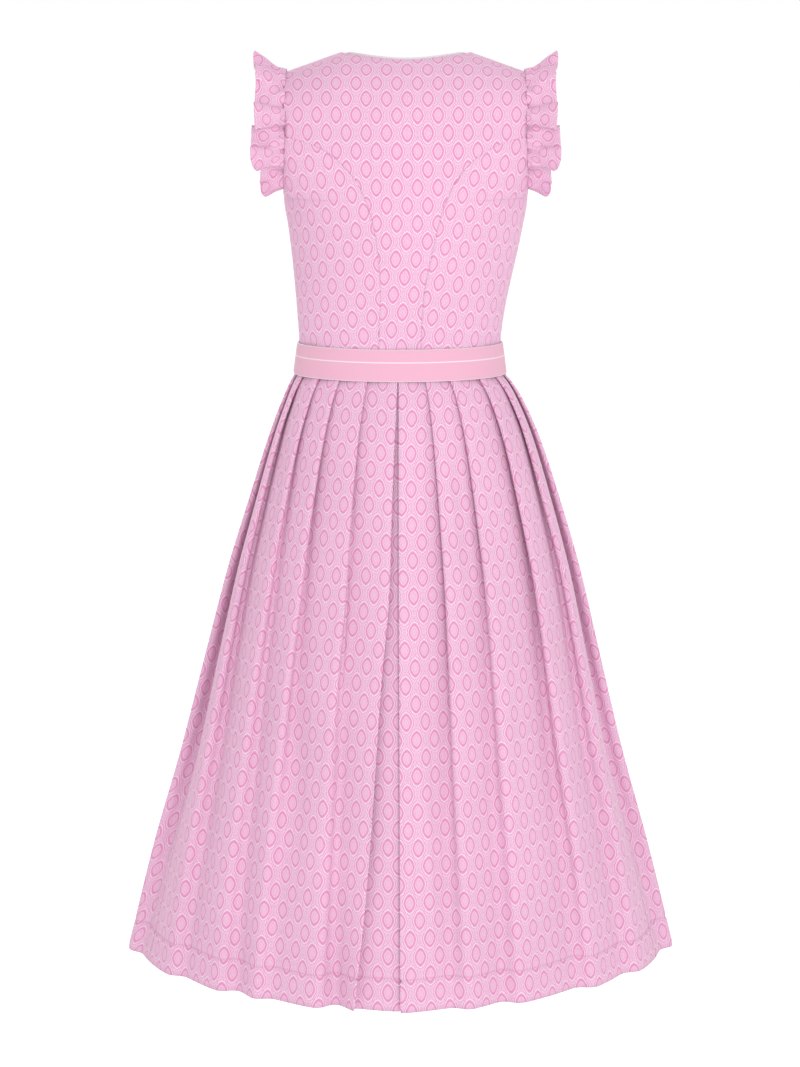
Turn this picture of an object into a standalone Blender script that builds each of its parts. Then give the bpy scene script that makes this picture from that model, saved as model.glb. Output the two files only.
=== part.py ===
"""A sleeveless dirndl in its worn shape: princess-seamed bodice, gathered armhole ruffles,
ribbon belt and knife-pleated skirt.

Metres, +Z up. The back of the dress faces -Y, the front +Y, and +X is the wearer's right.
The origin lies midway between the shoulder seams, where the wearer's shoulders hold the dress.
"""
import math
from collections import namedtuple

import bmesh
import bpy
import numpy as np
from mathutils import Vector

# ---- Cloth ----
BODICE_WALL = 0.0016      # face cloth and lining together
SKIRT_WALL = 0.0010
RUFFLE_WALL = 0.0010
RIBBON_WALL = 0.0015
FACING_WALL = 0.0010
SEAM_GAP = 0.0003
SHARPEST_MITRE = 0.65     # a wall's offset on a bend is lengthened by at most one over this

# ---- Heights, from the mount at the origin ----
NECK_Z = 0.012            # the neck ends of the shoulder seams
SHOULDER_Z = -0.012       # their outer ends
UNDERARM_Z = -0.165
BELT_TOP_Z = -0.346
WAIST_SEAM_Z = -0.365
BELT_BOTTOM_Z = -0.385
HEM_Z = -1.125

# ---- Bodice ----
NECK_HALF_WIDTH = 0.080
SHOULDER_HALF_WIDTH = 0.1475
BACK_NECK_REACH = 0.051   # how far the back neckline lies behind the shoulder seams
FRONT_NECK_DEPTH = 0.150  # the front neckline's drop below the neck points
FRONT_NECK_SQUARENESS = 2.6
NECK_CROWN = 0.005        # how far the surface would rise above the neck points at the centre
ARMHOLE_WIDEST_Z = -0.088
ARMHOLE_BACK = 0.064      # the armhole's reach behind and before the shoulder seams
ARMHOLE_FRONT = 0.060
ARMHOLE_EDGE_POWER = 1.6  # how close to the armhole the surface stays near an oval
FRONT_ARMHOLE_CUT = 0.012 # how far the front armhole is cut in across the chest
LEAN = 0.007              # the upper bodice leans this far towards the wearer's right
LEAN_HEIGHT = 0.160
Roof = namedtuple("Roof", "shoulder centre")
BACK_ROOF = Roof(shoulder=0.055, centre=0.085)     # radius of the roll over the shoulders
FRONT_ROOF = Roof(shoulder=0.065, centre=0.090)
BUST_X = 0.080
BUST_Z = -0.205
BUST_RISE = 0.016
BUST_REACH = 0.055

BodyLevel = namedtuple("BodyLevel", "z half_width back front")
BODY = [
    BodyLevel(-0.400, 0.1290, 0.0960, 0.1010),
    BodyLevel(-0.365, 0.1256, 0.0925, 0.0975),
    BodyLevel(-0.346, 0.1257, 0.0925, 0.0975),
    BodyLevel(-0.305, 0.1295, 0.0950, 0.1010),
    BodyLevel(-0.255, 0.1368, 0.1010, 0.1090),
    BodyLevel(-0.205, 0.1450, 0.1070, 0.1150),
    BodyLevel(-0.165, 0.1508, 0.1090, 0.1120),
    BodyLevel(-0.120, 0.1492, 0.1080, 0.1000),
    BodyLevel(-0.060, 0.1475, 0.1010, 0.0830),
    BodyLevel(0.020, 0.1475, 0.0950, 0.0720),
]

# The princess seams, as the distance from the centre line at each height.
SeamPoint = namedtuple("SeamPoint", "z x")
BACK_PRINCESS = [
    SeamPoint(-0.400, 0.0255), SeamPoint(-0.327, 0.0255), SeamPoint(-0.284, 0.0260),
    SeamPoint(-0.240, 0.0310), SeamPoint(-0.215, 0.0350), SeamPoint(-0.178, 0.0440),
    SeamPoint(-0.157, 0.0522), SeamPoint(-0.140, 0.0612), SeamPoint(-0.123, 0.0755),
    SeamPoint(-0.108, 0.0935), SeamPoint(-0.097, 0.1155), SeamPoint(-0.088, 0.1486),
]
FRONT_PRINCESS = [
    SeamPoint(-0.400, 0.0560), SeamPoint(-0.346, 0.0560), SeamPoint(-0.290, 0.0640),
    SeamPoint(-0.240, 0.0760), SeamPoint(-0.205, 0.0830), SeamPoint(-0.175, 0.0900),
    SeamPoint(-0.140, 0.1020), SeamPoint(-0.115, 0.1160), SeamPoint(-0.100, 0.1375),
]
FRONT_LAP = 0.009         # the right front laps this far past the centre line
SEAM_ROWS = 6
ARMHOLE_ROWS = 7
SHOULDER_ROWS = 6
NECK_COLUMNS = 10
SHOULDER_COLUMNS = 4
SIDE_COLUMNS = 7
FRONT_COLUMNS = 8
FRONT_CORNER_Z = -0.118   # where the front armhole's rows start, level with the neckline's corner
TIP_DROP = 0.0006         # a side panel's tip ends this far short of the armhole's own corner

# ---- Ribbon belt, its outer half sizes at each edge ----
Oval = namedtuple("Oval", "z half_width back front")
BELT_EDGES = [
    Oval(BELT_BOTTOM_Z, 0.1332, 0.1026, 0.1026),
    Oval(BELT_TOP_Z, 0.1281, 0.0951, 0.1002),
]
BELT_COLUMNS = 64

# ---- Facing and buttons ----
FACING_SHOWS = 0.0010
FACING_ROWS = 3
BUTTON_RADIUS = 0.0060
BUTTON_THICK = 0.0030
BUTTON_RIM = 0.0009
BUTTON_TOP_Z = -0.158
BUTTON_BOTTOM_Z = -0.322
BUTTON_COUNT = 5
BUTTON_SIDES = 16
BUTTON_CLEAR = 0.0006     # from the cloth to a button's back

# ---- Armhole ruffles ----
RUFFLE_WIDTH = 0.043
RUFFLE_END_WIDTH = 0.018
RUFFLE_TILT = math.radians(26.0)    # how far it stands off the straight outward direction
RUFFLE_END_GAP = 0.036              # bare armhole on each side of the underarm
RUFFLE_TAPER = 0.090
RUFFLE_CLEAR = 0.0019               # from the armhole's edge to the middle of the ruffle's root
ROOT_SWING = 0.0006
RUFFLE_ROWS = 5
FLUTE_COLUMNS = 10
EDGE_POINTS = 60          # points that follow each quarter of the armhole's edge
# One row for each flute, from the back underarm over the shoulder to the front underarm:
# its share of the armhole, how far it swings out and how far its crest leans along the edge.
Flute = namedtuple("Flute", "share swing lean")
FLUTES = [
    Flute(0.9, 0.0080, 0.0050), Flute(1.1, 0.0110, 0.0085), Flute(1.2, 0.0125, 0.0095),
    Flute(0.8, 0.0075, 0.0040), Flute(1.0, 0.0080, 0.0045), Flute(1.1, 0.0085, 0.0050),
    Flute(1.0, 0.0090, 0.0060), Flute(1.2, 0.0120, 0.0090), Flute(1.1, 0.0110, 0.0080),
    Flute(0.8, 0.0075, 0.0045),
]

# ---- Skirt ----
SKIRT_TOP_Z = -0.3655
SKIRT_TOP_DEPTH = 0.1000  # half the skirt's depth from back to front where it leaves the belt
DEPTH_SHARE = 0.880       # how much of the half width's growth the half depth takes
SKIRT_TOP_WIDTH = 0.1306
# fold is the angle to which a pleat's under layer is still turned back at this height: 180
# would lie flat on the pleat. turn is the cloth in the bend at each edge of a pleat. power
# shapes the ring, an oval at 2 and nearer a lozenge below it. sway is its shift towards +X.
# parting is how far the left edge of the centre pleat has opened from its right edge.
SkirtLevel = namedtuple("SkirtLevel", "z half_width fold turn power sway parting")
SKIRT = [
    SkirtLevel(SKIRT_TOP_Z, 0.1262, 173.5, 0.0024, 2.00, 0.0000, 0.0011),
    SkirtLevel(-0.385, 0.1306, 173.0, 0.0024, 2.00, 0.0000, 0.0011),
    SkirtLevel(-0.395, 0.1372, 171.0, 0.0024, 2.00, 0.0012, 0.0014),
    SkirtLevel(-0.407, 0.1443, 169.0, 0.0027, 2.00, 0.0025, 0.0020),
    SkirtLevel(-0.420, 0.1507, 167.0, 0.0030, 1.98, 0.0034, 0.0027),
    SkirtLevel(-0.445, 0.1617, 165.0, 0.0034, 1.96, 0.0044, 0.0040),
    SkirtLevel(-0.480, 0.1747, 163.0, 0.0042, 1.94, 0.0052, 0.0055),
    SkirtLevel(-0.540, 0.1940, 160.0, 0.0052, 1.90, 0.0055, 0.0080),
    SkirtLevel(-0.630, 0.2215, 154.0, 0.0065, 1.86, 0.0048, 0.0105),
    SkirtLevel(-0.740, 0.2495, 144.0, 0.0080, 1.82, 0.0034, 0.0200),
    SkirtLevel(-0.860, 0.2800, 126.0, 0.0095, 1.78, 0.0018, 0.0285),
    SkirtLevel(-0.990, 0.3175, 98.0, 0.0100, 1.74, 0.0005, 0.0380),
    SkirtLevel(HEM_Z, 0.3515, 66.0, 0.0100, 1.70, 0.0000, 0.0525),
]
# One row for each pleat from the centre back round to the centre front: how wide it shows at
# the belt, how wide it has become at the hem, both as shares, and its fullness at the hem.
Pleat = namedtuple("Pleat", "belt hem fullness")
RIGHT_PLEATS = [
    Pleat(0.92, 0.84, 1.08), Pleat(0.88, 0.66, 1.16), Pleat(1.18, 1.06, 1.08),
    Pleat(0.94, 0.82, 1.08), Pleat(1.06, 1.10, 1.06), Pleat(1.02, 1.16, 1.07),
    Pleat(0.97, 1.12, 1.05), Pleat(1.03, 1.12, 1.07), Pleat(1.00, 1.12, 1.05),
]
LEFT_PLEATS = [
    Pleat(1.06, 0.55, 1.38), Pleat(1.04, 0.82, 1.08), Pleat(0.88, 0.58, 1.22),
    Pleat(0.98, 0.90, 1.07), Pleat(1.04, 1.20, 1.05), Pleat(0.98, 1.25, 1.06),
    Pleat(1.02, 1.25, 1.05), Pleat(1.00, 1.25, 1.05), Pleat(1.00, 1.25, 1.05),
]
CENTRE_CLOTH = 0.0671     # cloth of each half of the centre pleat, its parting and what lies folded
CENTRE_PARTING = 0.0011   # from the centre back line to the right edge of the centre pleat
CENTRE_SHIFT = 0.0025     # how far the centre pleat lies towards the wearer's left
CENTRE_LAYER = 0.0040     # most air between the layers folded under there
CENTRE_POINTS = 7         # points of that fold, the last of them on its edge
FRONT_FACE = 0.036        # half the flat face across the centre front
SIDE_LIFT = 0.006         # how much higher the hem hangs at the sides
LONG_STEPS = 3            # steps along a pleat's long face
PLEAT_POINTS = LONG_STEPS + 4
SIDE_SEAM_PLEAT = 4       # the side seam runs down the long face of the pleat after this many
SIDE_SEAM_STEP = 1
RING_POINTS = 721         # points that follow half a ring round the skirt
FLAT_FACE_SLOPE = 0.1     # first guess of a pleat's slope, in radians
SLOPE_ROUNDS = 20

# ---- Colours ----
Finish = namedtuple("Finish", "colour roughness")
PINK_CLOTH = Finish((0.87, 0.46, 0.66), 0.85)
RIBBON_PINK = Finish((0.90, 0.42, 0.55), 0.60)
PALE_LINING = Finish((0.80, 0.79, 0.77), 0.80)
BUTTON_PINK = Finish((0.80, 0.36, 0.52), 0.45)


# ---- Small maths ----
def smooth_step(x):
    x = np.clip(x, 0.0, 1.0)
    return x * x * (3.0 - 2.0 * x)


def smooth_table(rows, key, value, at):
    """Read a table between its rows along a curve that never overshoots them."""
    ordered = sorted(rows, key=lambda row: getattr(row, key))
    xs = np.array([getattr(row, key) for row in ordered])
    ys = np.array([getattr(row, value) for row in ordered])
    steps = np.diff(xs)
    slopes = np.diff(ys) / steps
    before = np.concatenate([slopes[:1], slopes])
    after = np.concatenate([slopes, slopes[-1:]])
    same_way = before * after > 0.0
    total = np.where(same_way, before + after, 1.0)
    tangents = np.where(same_way, 2.0 * before * after / total, 0.0)
    at = np.clip(np.asarray(at, dtype=float), xs[0], xs[-1])
    i = np.clip(np.searchsorted(xs, at) - 1, 0, len(steps) - 1)
    t = (at - xs[i]) / steps[i]
    start = (1 + 2 * t) * (1 - t) ** 2 * ys[i] + t * (1 - t) ** 2 * steps[i] * tangents[i]
    end = t * t * (3 - 2 * t) * ys[i + 1] + t * t * (t - 1) * steps[i] * tangents[i + 1]
    return start + end


def unit(vectors):
    length = np.linalg.norm(vectors, axis=-1, keepdims=True)
    return vectors / np.maximum(length, 1e-9)


def mean_direction(grid, axis, closed=False):
    """At each point the mean of the unit steps to it and from it. It is short on a sharp bend."""
    steps = unit(np.diff(grid, axis=axis))
    if closed:
        last = unit(np.take(grid, [0], axis=axis) - np.take(grid, [-1], axis=axis))
        steps = np.concatenate([steps, last], axis=axis)
        return (steps + np.roll(steps, 1, axis=axis)) / 2
    first = np.take(steps, [0], axis=axis)
    last = np.take(steps, [-1], axis=axis)
    return (np.concatenate([first, steps], axis=axis) + np.concatenate([steps, last], axis=axis)) / 2


def grid_normals(grid, closed=False):
    """Normals of a grid of points, lengthened on sharp bends so that an offset wall keeps
    its thickness there. Columns run to the right and rows run up, seen from outside."""
    across = mean_direction(grid, 1, closed)
    up = mean_direction(grid, 0)
    sharpness = np.linalg.norm(across, axis=-1, keepdims=True)
    return unit(np.cross(across, up)) / np.maximum(sharpness, SHARPEST_MITRE)


# ---- Mesh building ----
def material(name, finish):
    made = bpy.data.materials.new(name)
    made.use_nodes = True
    shader = made.node_tree.nodes["Principled BSDF"]
    shader.inputs["Base Color"].default_value = (*finish.colour, 1.0)
    shader.inputs["Roughness"].default_value = finish.roughness
    return made


def add_object(name, points, faces, finish):
    mesh = bpy.data.meshes.new(name)
    mesh.from_pydata([tuple(point) for point in points], [], faces)
    mesh.update()
    mesh.shade_smooth()
    mesh.set_sharp_from_angle(angle=math.radians(50.0))
    mesh.materials.append(material(name + "_finish", finish))
    made = bpy.data.objects.new(name, mesh)
    bpy.context.scene.collection.objects.link(made)
    return made


def add_wall(name, grid, above, below, finish, closed=False, normals=None):
    """A wall round a grid of points: above and below are how far its two faces lie off the
    grid. The grid's columns run to the right and its rows run up, seen from outside."""
    if normals is None:
        normals = grid_normals(grid, closed)
    rows, columns, _ = grid.shape
    points = np.concatenate([(grid + normals * above).reshape(-1, 3),
                             (grid + normals * below).reshape(-1, 3)])
    back = rows * columns
    strips = columns if closed else columns - 1

    def at(row, column):
        return row * columns + column % columns

    faces = []
    for row in range(rows - 1):
        for column in range(strips):
            low, across = at(row, column), at(row, column + 1)
            high, opposite = at(row + 1, column), at(row + 1, column + 1)
            # Both faces of the wall are split along the same diagonal, so they stay parallel.
            for triangle in ([low, across, opposite], [low, opposite, high]):
                faces.append(triangle)
                faces.append([back + corner for corner in reversed(triangle)])
    borders = [(at(0, column), at(0, column + 1)) for column in range(strips)]
    borders += [(at(rows - 1, column + 1), at(rows - 1, column)) for column in range(strips)]
    if not closed:
        borders += [(at(row + 1, 0), at(row, 0)) for row in range(rows - 1)]
        borders += [(at(row, columns - 1), at(row + 1, columns - 1)) for row in range(rows - 1)]
    for first, second in borders:
        faces.append([second, first, back + first, back + second])
    return add_object(name, points, faces, finish)


# ---- The bodice's outer surface, y as a function of x and z ----
def body_half_width(z, front):
    """Distance from the centre line to the side seam, or to the armhole's edge above it."""
    width = smooth_table(BODY, "z", "half_width", z)
    if not front:
        return width
    height = (z - UNDERARM_Z) / (SHOULDER_Z - UNDERARM_Z)
    return width - FRONT_ARMHOLE_CUT * np.sin(np.pi * np.clip(height, 0.0, 1.0)) ** 1.5


def shoulder_line(x):
    """Height of the shoulder seam, carried on over the neck as a low crown."""
    x = np.abs(x)
    slope = (SHOULDER_Z - NECK_Z) / (SHOULDER_HALF_WIDTH - NECK_HALF_WIDTH)
    crown = NECK_CROWN * (1.0 - np.minimum(x / NECK_HALF_WIDTH, 1.0) ** 2)
    return NECK_Z + crown + slope * np.maximum(x - NECK_HALF_WIDTH, 0.0)


def armhole_reach(z, front):
    """How far before or behind the shoulder seam the armhole's edge lies."""
    widest = ARMHOLE_FRONT if front else ARMHOLE_BACK
    below = np.clip((ARMHOLE_WIDEST_Z - z) / (ARMHOLE_WIDEST_Z - UNDERARM_Z), 0.0, 1.0)
    return widest * np.sqrt(1.0 - below ** 2)


def roof_radius(x, front):
    """Radius of the roll with which the surface comes over the shoulder to the seam."""
    roof = FRONT_ROOF if front else BACK_ROOF
    return roof.centre + (roof.shoulder - roof.centre) * smooth_step(np.abs(x) / SHOULDER_HALF_WIDTH)


def bodice_points(x, z, front):
    x, z = np.broadcast_arrays(np.asarray(x, dtype=float), np.asarray(z, dtype=float))
    across = np.clip(np.abs(x) / body_half_width(z, front), 0.0, 1.0)
    roundness = np.sqrt(1.0 - across ** 2)
    depth = smooth_table(BODY, "z", "front" if front else "back", z)
    edge = armhole_reach(z, front)
    y = depth * roundness + edge * (1.0 - roundness) ** ARMHOLE_EDGE_POWER
    if front:
        spot = ((np.abs(x) - BUST_X) ** 2 + (z - BUST_Z) ** 2) / BUST_REACH ** 2
        y = y + BUST_RISE * np.exp(-spot) * roundness
    drop = np.clip((shoulder_line(x) - z) / roof_radius(x, front), 0.0, 1.0)
    y = y * np.sqrt(1.0 - (1.0 - drop) ** 2)
    lean = LEAN * smooth_step((z - BELT_TOP_Z) / LEAN_HEIGHT)
    return np.stack([x + lean, y if front else -y, z], axis=-1)


def princess_x(z, front, outward):
    """A panel's edge along the princess seam, half a seam gap to one side of the seam."""
    table = FRONT_PRINCESS if front else BACK_PRINCESS
    step = 0.0005
    rise = smooth_table(table, "z", "x", z + step) - smooth_table(table, "z", "x", z - step)
    slant = np.sqrt(1.0 + (rise / (2 * step)) ** 2)
    side = 1.0 if outward else -1.0
    return smooth_table(table, "z", "x", z) + side * SEAM_GAP / 2 * slant


def shoulder_edge(x, front):
    """Height of a panel's edge on the shoulder seam, half a gap short of the seam."""
    depth = smooth_table(BODY, "z", "front" if front else "back", shoulder_line(x))
    drop = 1.0 - np.sqrt(1.0 - (SEAM_GAP / 2 / depth) ** 2)
    return shoulder_line(x) - roof_radius(x, front) * drop


def rising_heights(bottom, count, front):
    """Heights up the armhole's edge, closer together where the shoulder rolls over."""
    radius = float(roof_radius(SHOULDER_HALF_WIDTH, front))
    turn = math.acos(max(1.0 - (SHOULDER_Z - bottom) / radius, -1.0))
    angles = np.linspace(turn, 0.0, count)
    return SHOULDER_Z - radius * (1.0 - np.cos(angles))


def seam_heights(front):
    """Heights up a princess seam, shared by the panels on its two sides. Above the underarm
    they are even steps round the armhole's curve."""
    tip = (FRONT_PRINCESS if front else BACK_PRINCESS)[-1].z - TIP_DROP
    height = ARMHOLE_WIDEST_Z - UNDERARM_Z
    last = math.asin((ARMHOLE_WIDEST_Z - tip) / height)
    turns = np.linspace(np.pi / 2, last, ARMHOLE_ROWS)[1:]
    low = np.linspace(WAIST_SEAM_Z + SEAM_GAP / 2, UNDERARM_Z, SEAM_ROWS)
    return np.concatenate([low, ARMHOLE_WIDEST_Z - height * np.sin(turns)])


# ---- Bodice panels ----
def back_neckline(x):
    """Height of the back neckline, which is an oval seen from above."""
    reach = BACK_NECK_REACH * np.sqrt(np.maximum(1.0 - (x / NECK_HALF_WIDTH) ** 2, 0.0))
    depth = smooth_table(BODY, "z", "back", NECK_Z)
    return shoulder_line(x) - roof_radius(x, False) * (1.0 - np.sqrt(1.0 - (reach / depth) ** 2))


def add_panel(name, x, z, front, inset=0.0, wall=BODICE_WALL, finish=PINK_CLOTH):
    """A wall under the bodice's surface through a grid of places on it."""
    if (x[0, -1] > x[0, 0]) == front:
        x = x[:, ::-1]
        z = z[:, ::-1]
    grid = bodice_points(x, z, front)
    step = 0.00001
    side = np.where(x < 0.0, -1.0, 1.0)
    inward = (grid - bodice_points(x - side * step, z, front)) / step
    downward = (grid - bodice_points(x, z - step, front)) / step
    facing = side[..., None] * (-1.0 if front else 1.0)
    normals = unit(np.cross(inward, downward) * facing)
    return add_wall(name, grid, -inset, -inset - wall, finish, normals=normals)


def back_center_places():
    round_neck = NECK_HALF_WIDTH * np.sin(np.linspace(-np.pi / 2, np.pi / 2, NECK_COLUMNS + 1))
    shoulder = np.linspace(NECK_HALF_WIDTH, SHOULDER_HALF_WIDTH, SHOULDER_COLUMNS + 1)[1:]
    top_x = np.concatenate([-shoulder[::-1], round_neck, shoulder])
    shares = top_x / SHOULDER_HALF_WIDTH
    top_z = np.minimum(back_neckline(top_x), shoulder_edge(top_x, False))
    seam = seam_heights(False)
    levels = np.concatenate([seam, rising_heights(BACK_PRINCESS[-1].z, SHOULDER_ROWS, False)])
    levels[-1] = top_z[-1]
    width = body_half_width(levels, False)
    edge = np.where(levels <= seam[-1], princess_x(levels, False, outward=False), width)
    x = np.minimum(edge, width)[:, None] * shares
    # Rows bend up towards the neckline and the shoulder seams as they near them.
    rise = smooth_step((levels - seam[-1]) / (levels[-1] - seam[-1]))
    z = levels[:, None] + rise[:, None] * (top_z - top_z[-1])
    return x, z


def add_back_center():
    x, z = back_center_places()
    return add_panel("back_center", x, z, False)


def add_side_panel(name, front, side):
    levels = seam_heights(front)
    width = body_half_width(levels, front)
    depth = smooth_table(BODY, "z", "front" if front else "back", levels)
    inner = np.arcsin(princess_x(levels, front, outward=True) / width)
    outer = np.pi / 2 - np.where(levels <= UNDERARM_Z, SEAM_GAP / 2 / depth, 0.0)
    shares = np.linspace(0.0, 1.0, SIDE_COLUMNS + 1)
    angle = inner[:, None] + (outer - inner)[:, None] * shares
    x = side * width[:, None] * np.sin(angle)
    return add_panel(name, x, np.broadcast_to(levels[:, None], x.shape), front)


def add_front_center(name, side):
    """A centre front: its inner edge runs up the closing edge and on along the neckline, its
    outer edge up the princess seam and on along the armhole."""
    closing_x = -FRONT_LAP if side > 0 else FRONT_LAP + SEAM_GAP
    top_z = float(shoulder_edge(NECK_HALF_WIDTH, True))
    neck_z = NECK_Z - FRONT_NECK_DEPTH
    seam = seam_heights(True)
    outer_z = np.concatenate([seam, rising_heights(FRONT_PRINCESS[-1].z, SHOULDER_ROWS, True)])
    outer_z[-1] = shoulder_edge(SHOULDER_HALF_WIDTH, True)
    width = body_half_width(outer_z, True)
    outer_x = np.where(outer_z <= seam[-1], princess_x(outer_z, True, outward=False), width)
    outer_x = np.minimum(outer_x, width)
    straight = int(np.sum(outer_z < FRONT_CORNER_Z))
    turns = np.linspace(0.0, np.pi / 2, len(outer_z) - straight + 1)
    round_x = closing_x + (NECK_HALF_WIDTH - closing_x) * np.sin(turns) ** (2 / FRONT_NECK_SQUARENESS)
    round_z = top_z - (top_z - neck_z) * np.cos(turns) ** (2 / FRONT_NECK_SQUARENESS)
    inner_x = np.concatenate([np.full(straight, closing_x), round_x[1:]])
    low = outer_z[:straight]
    low = low[0] + (low - low[0]) / (low[-1] - low[0]) * (neck_z - low[0])
    inner_z = np.concatenate([low, round_z[1:]])
    shares = np.linspace(0.0, 1.0, FRONT_COLUMNS + 1)
    x = inner_x[:, None] + (outer_x - inner_x)[:, None] * shares
    z = inner_z[:, None] + (outer_z - inner_z)[:, None] * shares
    return add_panel(name, side * x, z, True)


def add_neck_facing():
    """The facing follows the back's own points inside the neckline, and its edge rises just
    above it."""
    x, z = back_center_places()
    neck = slice(SHOULDER_COLUMNS, SHOULDER_COLUMNS + NECK_COLUMNS + 1)
    x = x[-FACING_ROWS:, neck]
    z = z[-FACING_ROWS:, neck].copy()
    depth = smooth_table(BODY, "z", "back", NECK_Z)
    reach = BACK_NECK_REACH * np.sqrt(np.maximum(1.0 - (x[-1] / NECK_HALF_WIDTH) ** 2, 0.0))
    radius = roof_radius(x[-1], False)
    turn = np.maximum(np.arcsin(reach / depth) - FACING_SHOWS / radius, SEAM_GAP / depth)
    z[-1] = shoulder_line(x[-1]) - radius * (1.0 - np.cos(turn))
    return add_panel("neck_facing", x, z, False, inset=BODICE_WALL + SEAM_GAP,
                     wall=FACING_WALL, finish=PALE_LINING)


def add_button(number):
    share = (number - 1) / (BUTTON_COUNT - 1)
    z = BUTTON_TOP_Z + (BUTTON_BOTTOM_Z - BUTTON_TOP_Z) * share
    step = 0.002
    place = bodice_points(0.0, z, True)
    up = bodice_points(0.0, z + step, True) - bodice_points(0.0, z - step, True)
    across = bodice_points(-step, z, True) - bodice_points(step, z, True)
    normal = unit(np.cross(across, up))
    # The button's profile: distance from its middle and height above the cloth.
    dish = BUTTON_RADIUS * 0.66
    profile = [
        (0.0, 0.0), (BUTTON_RADIUS * 0.85, 0.0), (BUTTON_RADIUS, BUTTON_THICK * 0.45),
        (BUTTON_RADIUS * 0.90, BUTTON_THICK), (dish, BUTTON_THICK), (0.0, BUTTON_THICK - BUTTON_RIM),
    ]
    mesh = bmesh.new()
    verts = [mesh.verts.new((radius, 0.0, height)) for radius, height in profile]
    edges = [mesh.edges.new(pair) for pair in zip(verts, verts[1:])]
    bmesh.ops.spin(mesh, geom=verts + edges, cent=(0, 0, 0), axis=(0, 0, 1),
                   angle=math.tau, steps=BUTTON_SIDES)
    bmesh.ops.remove_doubles(mesh, verts=mesh.verts, dist=0.00005)
    bmesh.ops.recalc_face_normals(mesh, faces=mesh.faces)
    turned = Vector(normal).to_track_quat("Z", "Y").to_matrix().to_4x4()
    turned.translation = Vector(place + normal * BUTTON_CLEAR)
    bmesh.ops.transform(mesh, matrix=turned, verts=mesh.verts)
    data = bpy.data.meshes.new(f"button_{number}")
    mesh.to_mesh(data)
    mesh.free()
    data.shade_smooth()
    data.set_sharp_from_angle(angle=math.radians(40.0))
    data.materials.append(material(f"button_{number}_finish", BUTTON_PINK))
    bpy.context.scene.collection.objects.link(bpy.data.objects.new(f"button_{number}", data))


# ---- Ribbon belt ----
def add_belt():
    turns = np.linspace(0.0, math.tau, BELT_COLUMNS, endpoint=False)
    rows = []
    for oval in BELT_EDGES:
        depth = np.where(np.cos(turns) > 0.0, oval.back, oval.front)
        ring = [oval.half_width * np.sin(turns), -depth * np.cos(turns), np.full(turns.shape, oval.z)]
        rows.append(np.stack(ring, axis=-1))
    grid = np.array([rows[0], (rows[0] + rows[1]) / 2, rows[1]])
    return add_wall("ribbon_belt", grid, 0.0, -RIBBON_WALL, RIBBON_PINK, closed=True)


# ---- Armhole ruffles ----
def armhole_edge(side):
    """Points along the armhole's edge from the back underarm over the shoulder to the front's."""
    height = ARMHOLE_WIDEST_Z - UNDERARM_Z
    halves = []
    for front in (False, True):
        low = ARMHOLE_WIDEST_Z - height * np.sin(np.linspace(np.pi / 2, 0.0, EDGE_POINTS))
        high = rising_heights(ARMHOLE_WIDEST_Z, EDGE_POINTS, front)[1:]
        z = np.concatenate([low, high])
        halves.append(bodice_points(side * body_half_width(z, front), z, front))
    return np.concatenate([halves[0], halves[1][-2::-1]])


def add_ruffle(name, side):
    edge = armhole_edge(side)
    travelled = np.concatenate([[0.0], np.cumsum(np.linalg.norm(np.diff(edge, axis=0), axis=1))])
    length = travelled[-1] - 2 * RUFFLE_END_GAP
    shares = np.array([flute.share for flute in FLUTES])
    ends = np.concatenate([[0.0], np.cumsum(shares) / shares.sum()])
    steps = np.linspace(0.0, len(FLUTES), len(FLUTES) * FLUTE_COLUMNS + 1)
    flute = np.minimum(steps.astype(int), len(FLUTES) - 1)
    along = RUFFLE_END_GAP + length * np.interp(steps, np.arange(len(ends)), ends)
    root = np.stack([np.interp(along, travelled, edge[:, axis]) for axis in range(3)], axis=-1)
    tangent = unit(np.gradient(root, axis=0))
    outward = np.array([side, 0.0, 0.0])
    radial = unit(np.cross(outward, tangent) * side)
    centre = np.array([0.0, 0.0, ARMHOLE_WIDEST_Z])
    away = np.sum(radial * ((root - centre) * [0.0, 1.0, 1.0]), axis=-1, keepdims=True)
    radial = radial * np.sign(away)
    reach = outward * math.cos(RUFFLE_TILT) + radial * math.sin(RUFFLE_TILT)
    from_end = np.minimum(along - RUFFLE_END_GAP, RUFFLE_END_GAP + length - along)
    width = RUFFLE_END_WIDTH + (RUFFLE_WIDTH - RUFFLE_END_WIDTH) * smooth_step(from_end / RUFFLE_TAPER)
    swing = np.interp(steps, np.arange(len(FLUTES)) + 0.5, [row.swing for row in FLUTES])
    lean = np.interp(steps, np.arange(len(FLUTES)) + 0.5, [row.lean for row in FLUTES])
    phase = steps - flute
    fullness = width / RUFFLE_WIDTH
    rows = []
    for out in np.linspace(0.0, 1.0, RUFFLE_ROWS):
        sway = (ROOT_SWING + (swing - ROOT_SWING) * out) * fullness * np.sin(math.tau * phase)
        shift = -lean * fullness * out ** 1.5 * np.sin(2 * math.tau * phase)
        distance = RUFFLE_CLEAR + width * out
        rows.append(root + reach * distance[:, None] + radial * sway[:, None]
                    + tangent * shift[:, None])
    grid = np.array(rows)
    # Seen from outside the dress the back end is on the side's own hand.
    if side > 0:
        grid = grid[::-1]
    return add_wall(name, grid, RUFFLE_WALL / 2, -RUFFLE_WALL / 2, PINK_CLOTH)


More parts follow.
